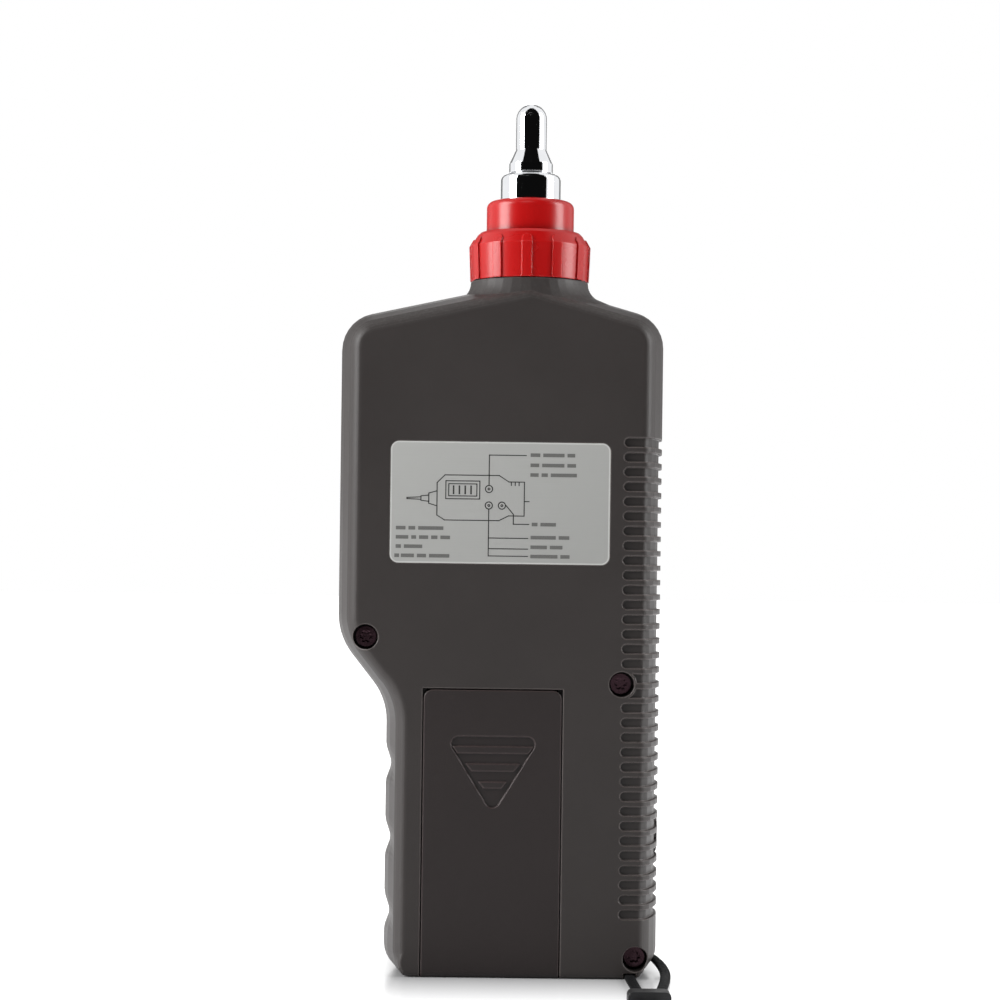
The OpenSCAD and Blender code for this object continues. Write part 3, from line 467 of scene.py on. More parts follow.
def turned_metal(slot, colour, rough, line=0.00012, depth=0.000004, stain=0.1):
    """Metal with fine turning lines round a vertical axis and a faint stain."""
    material, tree, shader = finish_of(slot)
    point, _, _, z = place_of(tree)
    stretched = put(tree, "ShaderNodeCombineXYZ", {0: 0, 1: 0, 2: sums(tree, "DIVIDE", z, line)})
    lines = noise(tree, stretched.outputs[0], 1, 2)
    stains = noise(tree, point, 260, 4)
    edges = use(tree, "wear", reach=0.0002, amount=0.5)
    body = mixed(
        tree,
        sums(tree, "MULTIPLY", ranged(tree, stains, 0.45, 0.7, 0, 1), stain),
        colour,
        scaled(colour, 0.55),
    )
    feed(
        tree,
        shader,
        Base_Color=mixed(tree, edges["Mask"], body, scaled(colour, 1.25)),
        Metallic=1.0,
        Roughness=ranged(tree, stains, 0.35, 0.75, rough * 0.8, rough * 1.3 + 0.01),
        Normal=bump(tree, lines, depth, normal=edges["Normal"]),
    )
    return material


def soft_rubber(slot, colour, rough=0.75):
    """Matte rubber with a dull bloom."""
    material, tree, shader = finish_of(slot)
    texture = use(tree, "grain", size=0.0005)
    veil = use(tree, "dust", amount=0.2)
    body = mixed(tree, texture["Shade"], scaled(colour, 0.85), scaled(colour, 1.2))
    feed(
        tree,
        shader,
        Base_Color=mixed(tree, veil["Mask"], body, (0.35, 0.34, 0.33)),
        Roughness=ranged(tree, texture["Shade"], 0, 1, rough - 0.06, rough + 0.06),
        Normal=bump(tree, texture["Height"], 0.00002),
    )
    return material


def pressed_button(slot, colour):
    """Satin button with a soft top, darker where the rim drops."""
    material, tree, shader = finish_of(slot)
    texture = use(tree, "grain", size=0.0003)
    edges = use(tree, "wear", reach=0.0004, amount=0.6)
    _, _, y, _ = place_of(tree)
    rim_y, top_y = 0.0128, 0.0148
    top = ranged(tree, y, rim_y, top_y, 0, 1)
    body = mixed(tree, top, scaled(colour, 0.7), colour)
    feed(
        tree,
        shader,
        Base_Color=mixed(tree, edges["Mask"], body, scaled(colour, 1.4)),
        Roughness=ranged(tree, texture["Shade"], 0, 1, 0.3, 0.4),
        Normal=bump(tree, texture["Height"], 0.000006, normal=edges["Normal"]),
    )
    return material


def label_film(slot, colour):
    """Silver film with a lighter rim, fine brushing and a painted gradient of light, lighter to the
    upper left.
    """
    material, tree, shader = finish_of(slot)
    low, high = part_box("rear_label")
    _, x, _, z = place_of(tree)
    brush_x, brush_z, tilt_x, tilt_z = 60, 9000, 0.55, -0.45
    along = ranged(tree, x, low.x, high.x, 0, tilt_x)
    up = ranged(tree, z, low.z, high.z, 0, tilt_z)
    light_fall = ranged(tree, sums(tree, "ADD", along, up), tilt_z, tilt_x, 0, 1)
    stretched = put(
        tree,
        "ShaderNodeCombineXYZ",
        {0: sums(tree, "MULTIPLY", x, brush_x), 1: 0, 2: sums(tree, "MULTIPLY", z, brush_z)},
    ).outputs[0]
    brushed = noise(tree, stretched, 1, 3)
    # The rim is where a rounded box a little inside the film ends
    middle, half, bend, rim = (low + high) / 2, (high - low) / 2, 0.0017, 0.0003
    dx = beyond(tree, x, middle.x, half.x - bend)
    dz = beyond(tree, z, middle.z, half.z - bend)
    inside = sums(tree, "MINIMUM", sums(tree, "MAXIMUM", dx, dz), 0)
    from_box = sums(tree, "ADD", outside(tree, dx, dz), inside)
    outline = sums(tree, "GREATER_THAN", from_box, bend - rim)
    # Painted light: the film is lighter to the upper left and darker to the lower right
    painted_light = mixed(tree, light_fall, scaled(colour, 1.07), scaled(colour, 0.9))
    streaked = mixed(
        tree, ranged(tree, brushed, 0.3, 0.7, 0, 0.12), painted_light, scaled(colour, 0.75)
    )
    feed(
        tree,
        shader,
        Base_Color=mixed(tree, outline, streaked, scaled(colour, 1.35)),
        Roughness=ranged(tree, brushed, 0.2, 0.8, 0.42, 0.55),
        Metallic=0.1,
        Normal=bump(tree, brushed, 0.000004),
    )
    return material


def printed_ink(slot, colour):
    """Screen-printed ink, slightly uneven."""
    material, tree, shader = finish_of(slot)
    texture = use(tree, "grain", size=0.00015)
    feed(
        tree,
        shader,
        Base_Color=mixed(tree, texture["Height"], scaled(colour, 0.7), scaled(colour, 1.6)),
        Roughness=ranged(tree, texture["Height"], 0.3, 0.7, 0.4, 0.6),
    )
    return material


def clear_window(slot):
    """Clear window whose border is printed black from behind."""
    material, tree, shader = finish_of(slot)
    low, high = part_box("lcd_window")
    side_edge, end_edge = 0.0042, 0.0042 * 1.3
    point, x, _, z = place_of(tree)
    opening = sums(
        tree,
        "MULTIPLY",
        between(tree, x, low.x + side_edge, high.x - side_edge),
        between(tree, z, low.z + end_edge, high.z - end_edge),
    )
    smudge = noise(tree, point, 120, 4)
    feed(
        tree,
        shader,
        Base_Color=mixed(tree, opening, (0.004, 0.004, 0.005), (0.93, 0.95, 0.95)),
        Roughness=ranged(tree, smudge, 0.4, 0.8, 0.02, 0.09),
        Transmission_Weight=1.0,
        IOR=1.49,
    )
    return material


def display_glass(slot, colour):
    """Grey-green liquid crystal glass with a polariser's faint mottle."""
    material, tree, shader = finish_of(slot)
    mottle = noise(tree, place_of(tree)[0], 900, 3)
    spread = ranged(tree, mottle, 0.3, 0.7, 0, 1)
    feed(
        tree,
        shader,
        Base_Color=mixed(tree, spread, scaled(colour, 0.93), scaled(colour, 1.07)),
        Roughness=ranged(tree, mottle, 0.3, 0.7, 0.12, 0.2),
        Coat_Weight=0.6,
    )
    return material


def circuit_board(slot):
    """Green solder mask with copper tracks under it and tinned pads."""
    material, tree, shader = finish_of(slot)
    _, x, _, z = place_of(tree)
    flat = put(tree, "ShaderNodeCombineXYZ", {0: x, 1: z, 2: 0}).outputs[0]
    tracks = put(
        tree,
        "ShaderNodeTexBrick",
        {
            "Vector": flat,
            "Scale": 420,
            "Mortar Size": 0.06,
            "Mortar Smooth": 0.1,
            "Brick Width": 2.3,
            "Row Height": 0.55,
        },
        offset=0.37,
    )
    pads = put(
        tree, "ShaderNodeTexVoronoi", {"Vector": flat, "Scale": 310, "Randomness": 0.55}
    ).outputs[0]
    pad = sums(tree, "LESS_THAN", pads, 0.16)
    mask = mixed(tree, tracks.outputs["Fac"], (0.012, 0.085, 0.035), (0.03, 0.18, 0.07))
    feed(
        tree,
        shader,
        Base_Color=mixed(tree, pad, mask, (0.6, 0.6, 0.58)),
        Metallic=sums(tree, "MULTIPLY", pad, 0.9),
        Roughness=ranged(tree, pad, 0, 1, 0.32, 0.28),
        Normal=bump(tree, tracks.outputs["Fac"], 0.00003),
    )
    return material


def board_parts(slot):
    """Black chips, can capacitors, a pale plug and the switches, told apart by place."""
    material, tree, shader = finish_of(slot)
    _, x, y, z = place_of(tree)
    plug_x, plug_z, plug_y, switch_y = (0.0015, 0.0095), (0.1175, 0.1235), 0.0065, 0.0079
    plug = sums(
        tree,
        "MULTIPLY",
        sums(tree, "MULTIPLY", between(tree, x, *plug_x), between(tree, z, *plug_z)),
        sums(tree, "LESS_THAN", y, plug_y),
    )
    switch = sums(tree, "GREATER_THAN", y, switch_y)
    texture = use(tree, "grain", size=0.0003)
    edges = use(tree, "wear", reach=0.0003, amount=0.6)
    body = mixed(tree, texture["Shade"], (0.018, 0.018, 0.02), (0.03, 0.03, 0.033))
    pale = mixed(tree, plug, body, (0.72, 0.70, 0.62))
    case = mixed(tree, switch, pale, (0.06, 0.06, 0.065))
    feed(
        tree,
        shader,
        Base_Color=mixed(tree, edges["Mask"], case, (0.3, 0.3, 0.3)),
        Roughness=ranged(tree, texture["Shade"], 0, 1, 0.4, 0.55),
        Normal=bump(tree, texture["Height"], 0.00001, normal=edges["Normal"]),
    )
    return material


def battery_jacket(slot):
    """Dark printed jacket with a plain band, rolled metal rims and nickel studs."""
    material, tree, shader = finish_of(slot)
    low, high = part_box("battery")
    point, _, _, z = place_of(tree)
    shoulder, rim, band_from = high.z - 0.0031, 0.0009, low.z + 0.031
    top = sums(tree, "GREATER_THAN", z, shoulder)
    rims = sums(
        tree,
        "MAXIMUM",
        between(tree, z, shoulder - rim, shoulder + 0.0001),
        sums(tree, "LESS_THAN", z, low.z + rim),
    )
    band = sums(tree, "GREATER_THAN", z, band_from)
    scuffs = noise(tree, point, 300, 6)
    edges = use(tree, "wear", reach=0.0004, amount=0.8)
    jacket = mixed(tree, band, (0.022, 0.022, 0.026), (0.42, 0.30, 0.10))
    bare = sums(tree, "MAXIMUM", rims, edges["Mask"], clamp=True)
    metal = sums(tree, "MAXIMUM", bare, top)
    feed(
        tree,
        shader,
        Base_Color=mixed(tree, metal, jacket, (0.62, 0.61, 0.59)),
        Metallic=metal,
        Roughness=ranged(tree, scuffs, 0.3, 0.7, 0.26, 0.42),
        Normal=bump(tree, scuffs, 0.00001, normal=edges["Normal"]),
    )
    return material


def paired_leads(slot):
    """Red and black insulation of the paired leads, told apart by place."""
    material, tree, shader = finish_of(slot)
    _, x, _, z = place_of(tree)
    head_from = 0.1
    low_middle, high_middle = (
        (low.x + high.x) / 2 for low, high in (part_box("battery_leads"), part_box("sensor_lead"))
    )
    upper = sums(tree, "GREATER_THAN", z, head_from)
    red = sums(tree, "GREATER_THAN", x, ranged(tree, upper, 0, 1, low_middle, high_middle))
    texture = use(tree, "grain", size=0.0004)
    feed(
        tree,
        shader,
        Base_Color=mixed(tree, red, (0.012, 0.012, 0.013), (0.45, 0.012, 0.012)),
        Roughness=ranged(tree, texture["Shade"], 0, 1, 0.38, 0.5),
        Normal=bump(tree, texture["Height"], 0.000008),
    )
    return material


def fired_ceramic(slot, colour):
    """Fired ceramic discs with silvered faces."""
    material, tree, shader = finish_of(slot)
    texture = use(tree, "grain", size=0.0002)
    edges = use(tree, "wear", reach=0.0002, amount=0.7)
    body = mixed(tree, texture["Height"], scaled(colour, 0.85), scaled(colour, 1.05))
    feed(
        tree,
        shader,
        Base_Color=mixed(tree, edges["Mask"], body, (0.7, 0.7, 0.68)),
        Roughness=ranged(tree, texture["Shade"], 0, 1, 0.5, 0.65),
        Normal=bump(tree, texture["Height"], 0.00001),
    )
    return material


def braided_yarn(slot, colour):
    """Dull black yarn: fine threads across each plait."""
    material, tree, shader = finish_of(slot)
    threads = put(
        tree,
        "ShaderNodeTexWave",
        {"Vector": place_of(tree)[0], "Scale": 1500, "Distortion": 3, "Detail": 2},
        wave_type="BANDS",
        bands_direction="DIAGONAL",
    ).outputs[1]
    feed(
        tree,
        shader,
        Base_Color=mixed(tree, threads, scaled(colour, 0.6), scaled(colour, 1.8)),
        Roughness=ranged(tree, threads, 0, 1, 0.55, 0.75),
        Specular_IOR_Level=0.15,
        Normal=bump(tree, threads, 0.00003),
    )
    return material


FINISHES = {}


def finishes():
    """Every material of the meter by its slot, made once."""
    if FINISHES:
        return FINISHES
    scene = bpy.context.scene
    colours, sizes = scene.meter_colours, scene.meter_sizes
    housing = dict(
        rough=0.46,
        grain=sizes.case_grain,
        depth=0.000018,
        wear=1.0,
        reach=sizes.edge_reach,
        # The case's edges are lightened 4.6 times: rubbed wear and painted highlights on rims
        rub_and_highlight=4.6,
        shine=0.35,
    )
    # The red pieces' edges are lightened as rubbed wear and painted highlights
    red = dict(wear=0.7, reach=0.0003, dust=0.0, rub_and_highlight=1.8, shine=0.4)
    FINISHES.update(
        case_plastic=moulded_plastic("case_plastic", tuple(colours.case), **housing),
        door_plastic=moulded_plastic("door_plastic", tuple(colours.door), **housing),
        red_plastic=moulded_plastic(
            "red_plastic", tuple(colours.nose), 0.27, sizes.nose_grain, 0.000006, **red
        ),
        panel_plastic=moulded_plastic("panel_plastic", (0.28, 0.29, 0.30), 0.42, 0.0004, 0.00001),
        black_plastic=moulded_plastic("black_plastic", (0.008, 0.008, 0.009), 0.5, 0.0004, 0.00001),
        white_plastic=moulded_plastic("white_plastic", (0.70, 0.70, 0.68), 0.45, 0.0005, 0.000008),
        chrome=turned_metal("chrome", tuple(colours.chrome), 0.045, depth=0.0000004, stain=0.08),
        steel=turned_metal("steel", (0.45, 0.46, 0.48), 0.26),
        blackened_steel=turned_metal("blackened_steel", (0.075, 0.042, 0.052), 0.2, stain=0.3),
        brass=turned_metal("brass", (0.55, 0.42, 0.20), 0.24),
        ceramic=fired_ceramic("ceramic", (0.70, 0.65, 0.50)),
        label_film=label_film("label_film", tuple(colours.label)),
        window_plastic=clear_window("window_plastic"),
        lcd_glass=display_glass("lcd_glass", (0.30, 0.36, 0.26)),
        pink_rubber=soft_rubber("pink_rubber", (0.70, 0.30, 0.35), 0.6),
        black_rubber=soft_rubber("black_rubber", (0.02, 0.02, 0.022)),
        board=circuit_board("board"),
        circuit_parts=board_parts("circuit_parts"),
        battery_jacket=battery_jacket("battery_jacket"),
        lead_rubber=paired_leads("lead_rubber"),
        red_button=pressed_button("red_button", (0.55, 0.010, 0.015)),
        grey_button=pressed_button("grey_button", (0.60, 0.60, 0.58)),
        strap_fabric=braided_yarn("strap_fabric", tuple(colours.strap)),
        ink=printed_ink("ink", tuple(colours.ink)),
        pale_ink=printed_ink("pale_ink", scaled(colours.ink, 5)),
    )
    return FINISHES


# Mesh helpers


def object_of(name, mesh, material):
    """Makes an object of the scene from a bmesh, with its material."""
    data = bpy.data.meshes.new(name)
    mesh.to_mesh(data)
    mesh.free()
    data.materials.append(material)
    made = bpy.data.objects.new(name, data)
    bpy.context.scene.collection.objects.link(made)
    return made


def piece_of(name, mesh, material, body):
    """Makes a piece from a bmesh, finishes it and lets it ride on a body."""
    bmesh.ops.recalc_face_normals(mesh, faces=mesh.faces)
    made = object_of(name, mesh, material)
    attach(made, body)
    return made


def loop_prism(mesh, points, y_from, y_to):
    """A closed prism between two planes square to Y, from an outline in x and z."""
    rings = [[mesh.verts.new((x, y, z)) for x, z in points] for y in (y_from, y_to)]
    count = len(points)
    mesh.faces.new(rings[0])
    mesh.faces.new(rings[1][::-1])
    for i in range(count):
        j = (i + 1) % count
        mesh.faces.new((rings[0][i], rings[0][j], rings[1][j], rings[1][i]))


def bar(mesh, start, end, width, y_from, y_to):
    """A straight printed line with square ends."""
    a, b = Vector(start), Vector(end)
    along = (b - a).normalized() * width / 2
    side = Vector((-along.y, along.x))
    corners = [a - along - side, b + along - side, b + along + side, a - along + side]
    loop_prism(mesh, [tuple(p) for p in corners], y_from, y_to)


def ring_prism(mesh, centre, r_in, r_out, y_from, y_to, steps=48):
    """A printed ring between two planes square to Y."""
    loops = []
    for r, y in ((r_in, y_from), (r_out, y_from), (r_out, y_to), (r_in, y_to)):
        loops.append(
            [
                mesh.verts.new(
                    (
                        centre[0] + r * math.cos(2 * math.pi * i / steps),
                        y,
                        centre[1] + r * math.sin(2 * math.pi * i / steps),
                    )
                )
                for i in range(steps)
            ]
        )
    for a, b in zip(loops, loops[1:] + loops[:1]):
        for i in range(steps):
            j = (i + 1) % steps
            mesh.faces.new((a[i], a[j], b[j], b[i]))


def spline(points, parts):
    """Catmull-Rom points through a route, with the ends held."""
    out = []
    pts = [points[0], *points, points[-1]]
    for i in range(1, len(pts) - 2):
        p0, p1, p2, p3 = (Vector(p) for p in pts[i - 1 : i + 3])
        for k in range(parts):
            t = k / parts
            out.append(
                0.5
                * (
                    2 * p1
                    + (p2 - p0) * t
                    + (2 * p0 - 5 * p1 + 4 * p2 - p3) * t * t
                    + (3 * p1 - p0 - 3 * p2 + p3) * t * t * t
                )
            )
    out.append(Vector(points[-1]))
    return out


# Pieces


def build_strap(sizes):
    """The wrist strap: a flat tube braided from diagonal plaits."""
    route = [Vector((x + STRAP_START_X, y, z)) * MM for x, y, z in STRAP_ROUTE]
    line = spline(route, 12)
    half_w, half_t = sizes.strap_width / 2, sizes.strap_thickness / 2
    relief, pitch, around, plaits = sizes.braid_relief, sizes.braid_pitch, 28, 4
    ring_step, side_power, face_power = 0.00033, 0.8, 0.62
    lengths = [0.0]
    for a, b in zip(line, line[1:]):
        lengths.append(lengths[-1] + (b - a).length)
    steps = int(lengths[-1] / ring_step)
    mesh = bmesh.new()
    rings, k = [], 0
    for n in range(steps + 1):
        s = lengths[-1] * n / steps
        while k < len(lengths) - 2 and lengths[k + 1] < s:
            k += 1
        share = (s - lengths[k]) / max(lengths[k + 1] - lengths[k], 1e-9)
        here = line[k].lerp(line[k + 1], share)
        ahead = (line[k + 1] - line[k]).normalized()
        across = ahead.cross(Vector((0, 0, 1))).normalized()
        up = across.cross(ahead).normalized()
        ring = []
        for i in range(around):
            turn = 2 * math.pi * i / around
            cos, sin = math.cos(turn), math.sin(turn)
            # The section is a flat oval that the powers square a little
            w = math.copysign(abs(cos) ** side_power, cos) * (half_w - relief)
            t = math.copysign(abs(sin) ** face_power, sin) * (half_t - relief)
            one = math.cos(2 * math.pi * s / pitch + plaits * turn)
            other = math.cos(2 * math.pi * s / pitch - plaits * turn)
            out = relief * (max(one, other) * 0.5 + 0.5)
            away = (across * cos + up * sin).normalized()
            ring.append(mesh.verts.new(here + across * w + up * t + away * out))
        rings.append(ring)
    for a, b in zip(rings, rings[1:]):
        for i in range(around):
            j = (i + 1) % around
            mesh.faces.new((a[i], a[j], b[j], b[i]))
    mesh.faces.new(rings[0])
    mesh.faces.new(rings[-1][::-1])
    for face in mesh.faces:
        face.smooth = True
    made = piece_of("braided_strap", mesh, finishes()["strap_fabric"], "case")
    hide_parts("wrist_strap")


def build_label_print(sizes):
    """A plain diagram of a probe instrument, with leader lines to rows of plain bars."""
    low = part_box("rear_label")[0]
    y_in, y_out = low.y + 0.00001, low.y - sizes.print_height
    w = sizes.line_width
    mesh = bmesh.new()

    def at(u, v):
        """A place on the label in millimetres from its lower left corner."""
        return (low.x + u * MM, low.z + v * MM)

    def path(points, width=w, closed=False):
        """Printed lines from point to point."""
        for a, b in zip(points, points[1:] + points[:1] if closed else points[1:]):
            bar(mesh, at(*a), at(*b), width, y_in, y_out)

    # The instrument lies on its side with its probe to the left
    path(
        [(9.6, 9.9), (9.6, 16.6), (11.2, 18.2), (22.4, 18.2), (24.4, 16.9), (27.6, 16.9),
         (27.6, 9.9), (24.4, 9.9), (22.4, 8.9), (11.2, 8.9)],
        closed=True,
    )
    path([(9.6, 14.9), (7.9, 14.4), (7.9, 12.3), (9.6, 11.8)])
    path([(7.9, 14.0), (6.3, 13.8), (6.3, 12.9), (7.9, 12.7)])
    path([(6.3, 13.6), (3.4, 13.45), (3.4, 13.2), (6.3, 13.1)])
    path([(11.4, 13.3), (11.4, 17.0), (18.4, 17.0), (18.4, 13.3)], closed=True)
    path([(12.0, 13.9), (12.0, 16.4), (17.8, 16.4), (17.8, 13.9)], closed=True)
    for u in (13.0, 14.2, 15.4, 16.6):
        path([(u, 14.4), (u, 15.9)], width=w * 1.6)
    for centre in ((20.3, 15.4), (20.3, 12.0), (23.0, 12.0)):
        ring_prism(mesh, at(*centre), 0.62 * MM, 0.84 * MM, y_in, y_out)
        ring_prism(mesh, at(*centre), 0.10 * MM, 0.30 * MM, y_in, y_out, 20)
    for n in range(3):
        path([(24.9 + n * 0.8, 16.9), (24.9 + n * 0.8, 16.2)])
    # Leader lines
    path([(20.3, 16.3), (20.3, 22.4), (27.9, 22.4)])
    path([(27.7, 12.9), (28.6, 12.9)])
    path([(23.9, 12.0), (25.4, 10.2), (25.4, 8.2), (28.6, 8.2)])
    path([(20.3, 11.1), (20.3, 5.3), (28.4, 5.3)])
    path([(20.3, 3.1), (28.4, 3.1)])
    path([(20.3, 5.3), (20.3, 1.6), (28.4, 1.6)])
    # Rows of plain bars: left end and height on the label, then the bars' lengths
    rows = [
        (28.8, 22.5, (2.0, 4.4, 1.6)),
        (28.8, 20.4, (1.8, 4.6, 1.8)),
        (28.8, 18.4, (1.7, 1.3, 5.4)),
        (29.2, 8.2, (1.2, 3.2)),
        (29.0, 5.5, (5.2, 2.2)),
        (29.0, 3.5, (3.4, 2.6)),
        (29.0, 1.6, (5.6, 1.9)),
        (1.2, 7.2, (2.0, 1.4, 5.2)),
        (1.2, 5.3, (2.6, 1.0, 1.9, 1.3, 2.0)),
        (1.2, 3.4, (1.1, 3.8)),
        (1.2, 1.5, (0.5, 2.7, 1.9, 4.2)),
    ]
    ink_lines = len(mesh.faces)
    tall, gap = 0.74, 0.6
    for u, v, words in rows:
        for word in words:
            path([(u + tall / 2, v), (u + word - tall / 2, v)], width=tall * MM)
            u += word + gap
    mesh.faces.ensure_lookup_table()
    for face in mesh.faces[ink_lines:]:
        face.material_index = 1
    made = piece_of("label_print", mesh, finishes()["ink"], "case")
    made.data.materials.append(finishes()["pale_ink"])


def build_display_digits():
    """Faint segments of a switched-off three and a half digit display."""
    low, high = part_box("lcd_glass")
    y_in, y_out = high.y - 0.00001, high.y + 0.00003
    middle = (low + high) / 2 / MM
    mesh = bmesh.new()
    count, tall, wide, thick, gap, spare = 4, 13.0, 6.6, 1.25, 2.6, 0.12
    first = middle.z - (count * wide + (count - 1) * gap) / 2

    def stroke(a, b):
        """A pointed segment; digits run up the meter, so their foot faces +X."""
        along = (Vector(b) - Vector(a)).normalized()
        side = Vector((-along.y, along.x)) * thick / 2
        p, q = Vector(a) + along * spare, Vector(b) - along * spare
        half = along * thick / 2
        points = [p, p + half + side, q - half + side, q, q - half - side, p + half - side]
        # u runs along +Z, v runs along -X
        loop_prism(mesh, [((middle.x - v) * MM, u * MM) for u, v in points], y_in, y_out)

    for n in range(count):
        left = first + n * (wide + gap)
        right, low_v, high_v = left + wide, -tall / 2, tall / 2
        # The first digit is the half one, which only shows a 1
        if n:
            stroke((left, high_v), (right, high_v))
            stroke((left, 0), (right, 0))
            stroke((left, low_v), (right, low_v))
            stroke((left, 0), (left, high_v))
            stroke((left, low_v), (left, 0))
        stroke((right, 0), (right, high_v))
        stroke((right, low_v), (right, 0))
    material, tree, shader = finish_of("lcd_segments")
    texture = use(tree, "grain", size=0.0003)
    feed(
        tree,
        shader,
        Base_Color=mixed(tree, texture["Shade"], (0.20, 0.245, 0.175), (0.215, 0.26, 0.185)),
        Roughness=ranged(tree, texture["Shade"], 0, 1, 0.15, 0.22),
    )
    piece_of("display_digits", mesh, material, "case")


def dress_solids():
    """Gives every solid of the part its own procedural finish."""
    for entry in frame["record"]["subparts"]:
        solid = frame["nodes"][entry["node"]]
        solid.data.materials.clear()
        solid.data.materials.append(finishes()[entry["material_slot"]])


# Studio

# Name, place, width and height in metres, and watts of each lamp
LAMPS = (
    ("lamp_left", (-0.75, -0.22, 0.42), (0.45, 0.6), 9.7),
    ("lamp_right", (0.80, -0.10, 0.40), (0.35, 0.6), 6.0),
    ("lamp_front", (-0.25, -0.90, 0.95), (0.6, 0.4), 2.6),
    ("lamp_front_side", (0.1, 0.95, 0.5), (0.7, 0.5), 1.3),
)
LAMP_AIM = (0, 0, 0.09)
# Name, turns from -Y and rises in degrees, and shade of what only reflections see
REFLECTED = (
    ("dark_screen", (-62, 62), (-25, 84), 0.004),
    ("left_flag", (-172, -140), (1, 60), 0.25),
    ("right_flag", (140, 172), (1, 60), 0.25),
)
WORLD_LIGHT = 0.15
FLOOR_GLOW = 0.72


def add_camera(sizes):
    """A camera facing the meter's back, a little to the left and rolled very slightly."""
    data = bpy.data.cameras.new("camera")
    data.lens, data.sensor_width = 93.4, 36
    data.shift_y = 0.0648
    made = bpy.data.objects.new("camera", data)
    bpy.context.scene.collection.objects.link(made)
    yaw, roll = math.radians(-0.586), math.radians(0.746)
    place = Vector((sizes.camera_side, -sizes.camera_distance, sizes.camera_height))
    turn = (
        Matrix.Rotation(yaw, 4, "Z")
        @ Matrix.Rotation(math.radians(90), 4, "X")
        @ Matrix.Rotation(roll, 4, "Z")
    )
    made.matrix_world = Matrix.Translation(place) @ turn
    data.clip_start, data.clip_end = 0.01, 20
    bpy.context.scene.camera = made


def add_lamp(name, place, size, power):
    """A soft rectangular studio lamp that points at the meter."""
    data = bpy.data.lights.new(name, "AREA")
    data.shape, data.size, data.size_y = "RECTANGLE", *size
    data.energy = power
    made = bpy.data.objects.new(name, data)
    bpy.context.scene.collection.objects.link(made)
    made.location = place
    towards = Vector(LAMP_AIM) - Vector(place)
    made.rotation_euler = towards.to_track_quat("-Z", "Y").to_euler()


def add_floor(colour):
    """A pale glossy floor that shows white to the camera, keeps the real shadow and has a painted
    shadow round the foot.
    """
    material, tree, shader = finish_of("floor")
    point, x, y, _ = place_of(tree)
    waves = noise(tree, point, 9, 2)
    # Painted shadow: the floor's colour and glow are darker where the meter's foot stands over it,
    # most of all before and behind it, and this also stands for the meter's reflection
    middle_x, half_x, half_y = 0.0055, 0.026, 0.013
    side_falls, shadow_reach, shadow = 6, 0.042, 0.62
    side = sums(tree, "MULTIPLY", beyond(tree, x, middle_x, half_x), side_falls)
    clear = outside(tree, side, beyond(tree, y, 0, half_y))
    outside_painted_shadow = ranged(tree, clear, 0, shadow_reach, 0, 1)
    open_floor = mixed(tree, waves, scaled(colour, 0.99), scaled(colour, 1.01))
    feed(
        tree,
        shader,
        Base_Color=mixed(tree, outside_painted_shadow, scaled(colour, shadow), open_floor),
        Roughness=ranged(tree, waves, 0.3, 0.7, 0.15, 0.18),
    )
    strength = sums(tree, "MULTIPLY", sums(tree, "MULTIPLY", seen_rays(tree), outside_painted_shadow), FLOOR_GLOW)
    glow = put(tree, "ShaderNodeEmission", {"Strength": strength}).outputs[0]
    both = put(tree, "ShaderNodeAddShader", {0: shader.outputs[0], 1: glow}).outputs[0]
    tree.links.new(both, tree.nodes["Material Output"].inputs["Surface"])
    mesh = bmesh.new()
    half = 6.0
    corners = ((-half, -half), (half, -half), (half, half), (-half, half))
    mesh.faces.new([mesh.verts.new((*corner, 0)) for corner in corners])
    object_of("floor", mesh, material)


def add_reflected(name, turns, rises, shade):
    """A patch of a wide sphere that only reflections see."""
    mesh = bmesh.new()
    radius, centre_z, columns, rows = 0.9, 0.1, 24, 12
    rings = []
    for i in range(columns + 1):
        turn = math.radians(turns[0] + (turns[1] - turns[0]) * i / columns)
        ring = []
        for k in range(rows + 1):
            rise = math.radians(rises[0] + (rises[1] - rises[0]) * k / rows)
            flat, z = radius * math.cos(rise), centre_z + radius * math.sin(rise)
            ring.append(mesh.verts.new((flat * math.sin(turn), -flat * math.cos(turn), z)))
        rings.append(ring)
    for a, b in zip(rings, rings[1:]):
        for k in range(rows):
            mesh.faces.new((a[k], b[k], b[k + 1], a[k + 1]))
    material, tree, shader = finish_of(name)
    feed(tree, shader, Base_Color=(0, 0, 0), Roughness=1.0, Specular_IOR_Level=0.0)
    feed(tree, shader, Emission_Color=(shade, shade, shade), Emission_Strength=1.0)
    made = object_of(name, mesh, material)
    made.visible_camera = made.visible_diffuse = made.visible_shadow = False
    made.visible_transmission = made.visible_volume_scatter = False


def add_world():
    """White behind the meter, and even light of its own for the diffuse surfaces."""
    world = bpy.data.worlds.new("studio")
    bpy.context.scene.world = world
    world.use_nodes = True
    tree = world.node_tree
    back = tree.nodes["Background"]
    back.inputs["Color"].default_value = (1, 1, 1, 1)
    tree.links.new(
        ranged(tree, seen_rays(tree), 0, 1, WORLD_LIGHT, 1), back.inputs["Strength"]
    )


# Operators


class MadePiece:
    """What every operator of this file shares."""

    bl_options = {"REGISTER", "UNDO"}


class METER_OT_camera(MadePiece, Operator):
    """Place the camera at the photograph's viewing angle"""

    bl_idname = "meter.camera"
    bl_label = "Camera"

    def execute(self, context):
        add_camera(context.scene.meter_sizes)
        return {"FINISHED"}


class METER_OT_wrist_strap(MadePiece, Operator):
    """Lay the braided wrist strap along its route"""

    bl_idname = "meter.wrist_strap"
    bl_label = "Wrist strap"

    def execute(self, context):
        build_strap(context.scene.meter_sizes)
        return {"FINISHED"}


class METER_OT_solids(MadePiece, Operator):
    """Give every solid its finish"""

    bl_idname = "meter.solids"
    bl_label = "Finishes of the solids"

    def execute(self, context):
        dress_solids()
        return {"FINISHED"}


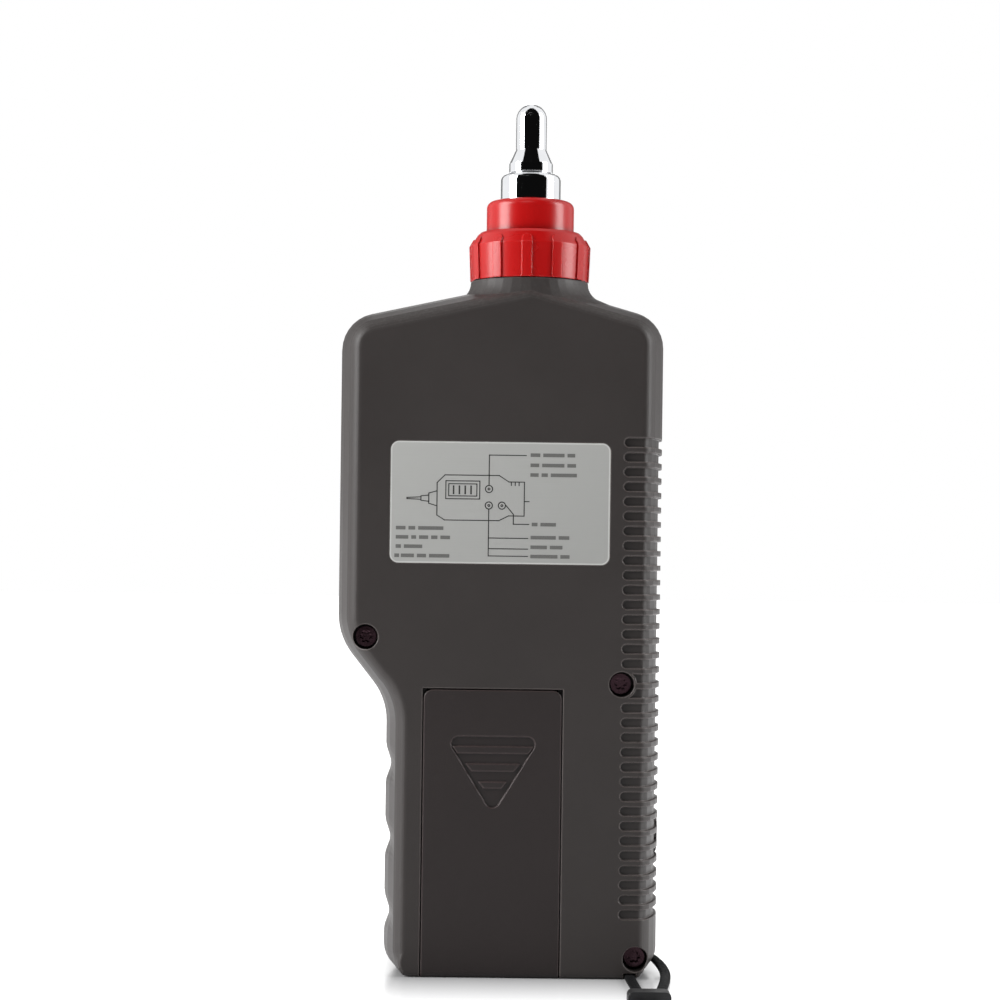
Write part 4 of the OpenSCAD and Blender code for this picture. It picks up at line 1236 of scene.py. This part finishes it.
class METER_OT_label_print(MadePiece, Operator):
    """Print the plain diagram on the rear label"""

    bl_idname = "meter.label_print"
    bl_label = "Label print"

    def execute(self, context):
        build_label_print(context.scene.meter_sizes)
        return {"FINISHED"}


class METER_OT_display(MadePiece, Operator):
    """Add the faint segments of the display"""

    bl_idname = "meter.display"
    bl_label = "Display segments"

    def execute(self, context):
        build_display_digits()
        return {"FINISHED"}


class METER_OT_stage(MadePiece, Operator):
    """Add the floor, the reflected screens, the lamps and the world"""

    bl_idname = "meter.stage"
    bl_label = "Studio"

    def execute(self, context):
        add_floor(tuple(context.scene.meter_colours.floor))
        for name, turns, rises, shade in REFLECTED:
            add_reflected(name, turns, rises, shade)
        for name, place, size, power in LAMPS:
            add_lamp(name, place, size, power)
        add_world()
        context.scene.view_settings.view_transform = "Standard"
        return {"FINISHED"}


STEPS = (
    METER_OT_camera,
    METER_OT_wrist_strap,
    METER_OT_solids,
    METER_OT_label_print,
    METER_OT_display,
    METER_OT_stage,
)


class METER_PT_looks(Panel):
    """Lists the pieces and the sizes and colours of the looks"""

    bl_label = "Vibration meter"
    bl_idname = "METER_PT_looks"
    bl_space_type = "VIEW_3D"
    bl_region_type = "UI"
    bl_category = "Meter"

    def draw(self, context):
        layout = self.layout
        for step in STEPS:
            layout.operator(step.bl_idname)
        for group in (context.scene.meter_sizes, context.scene.meter_colours):
            box = layout.box()
            for key in group.__annotations__:
                box.prop(group, key)


CLASSES = (MeterSizes, MeterColours, *STEPS, METER_PT_looks)


def register():
    for made in CLASSES:
        bpy.utils.register_class(made)
    bpy.types.Scene.meter_sizes = PointerProperty(type=MeterSizes)
    bpy.types.Scene.meter_colours = PointerProperty(type=MeterColours)


def unregister():
    del bpy.types.Scene.meter_colours
    del bpy.types.Scene.meter_sizes
    for made in reversed(CLASSES):
        bpy.utils.unregister_class(made)


def main():
    register()
    for step in STEPS:
        group, name = step.bl_idname.split(".")
        getattr(getattr(bpy.ops, group), name)()


if __name__ == "__main__":
    main()
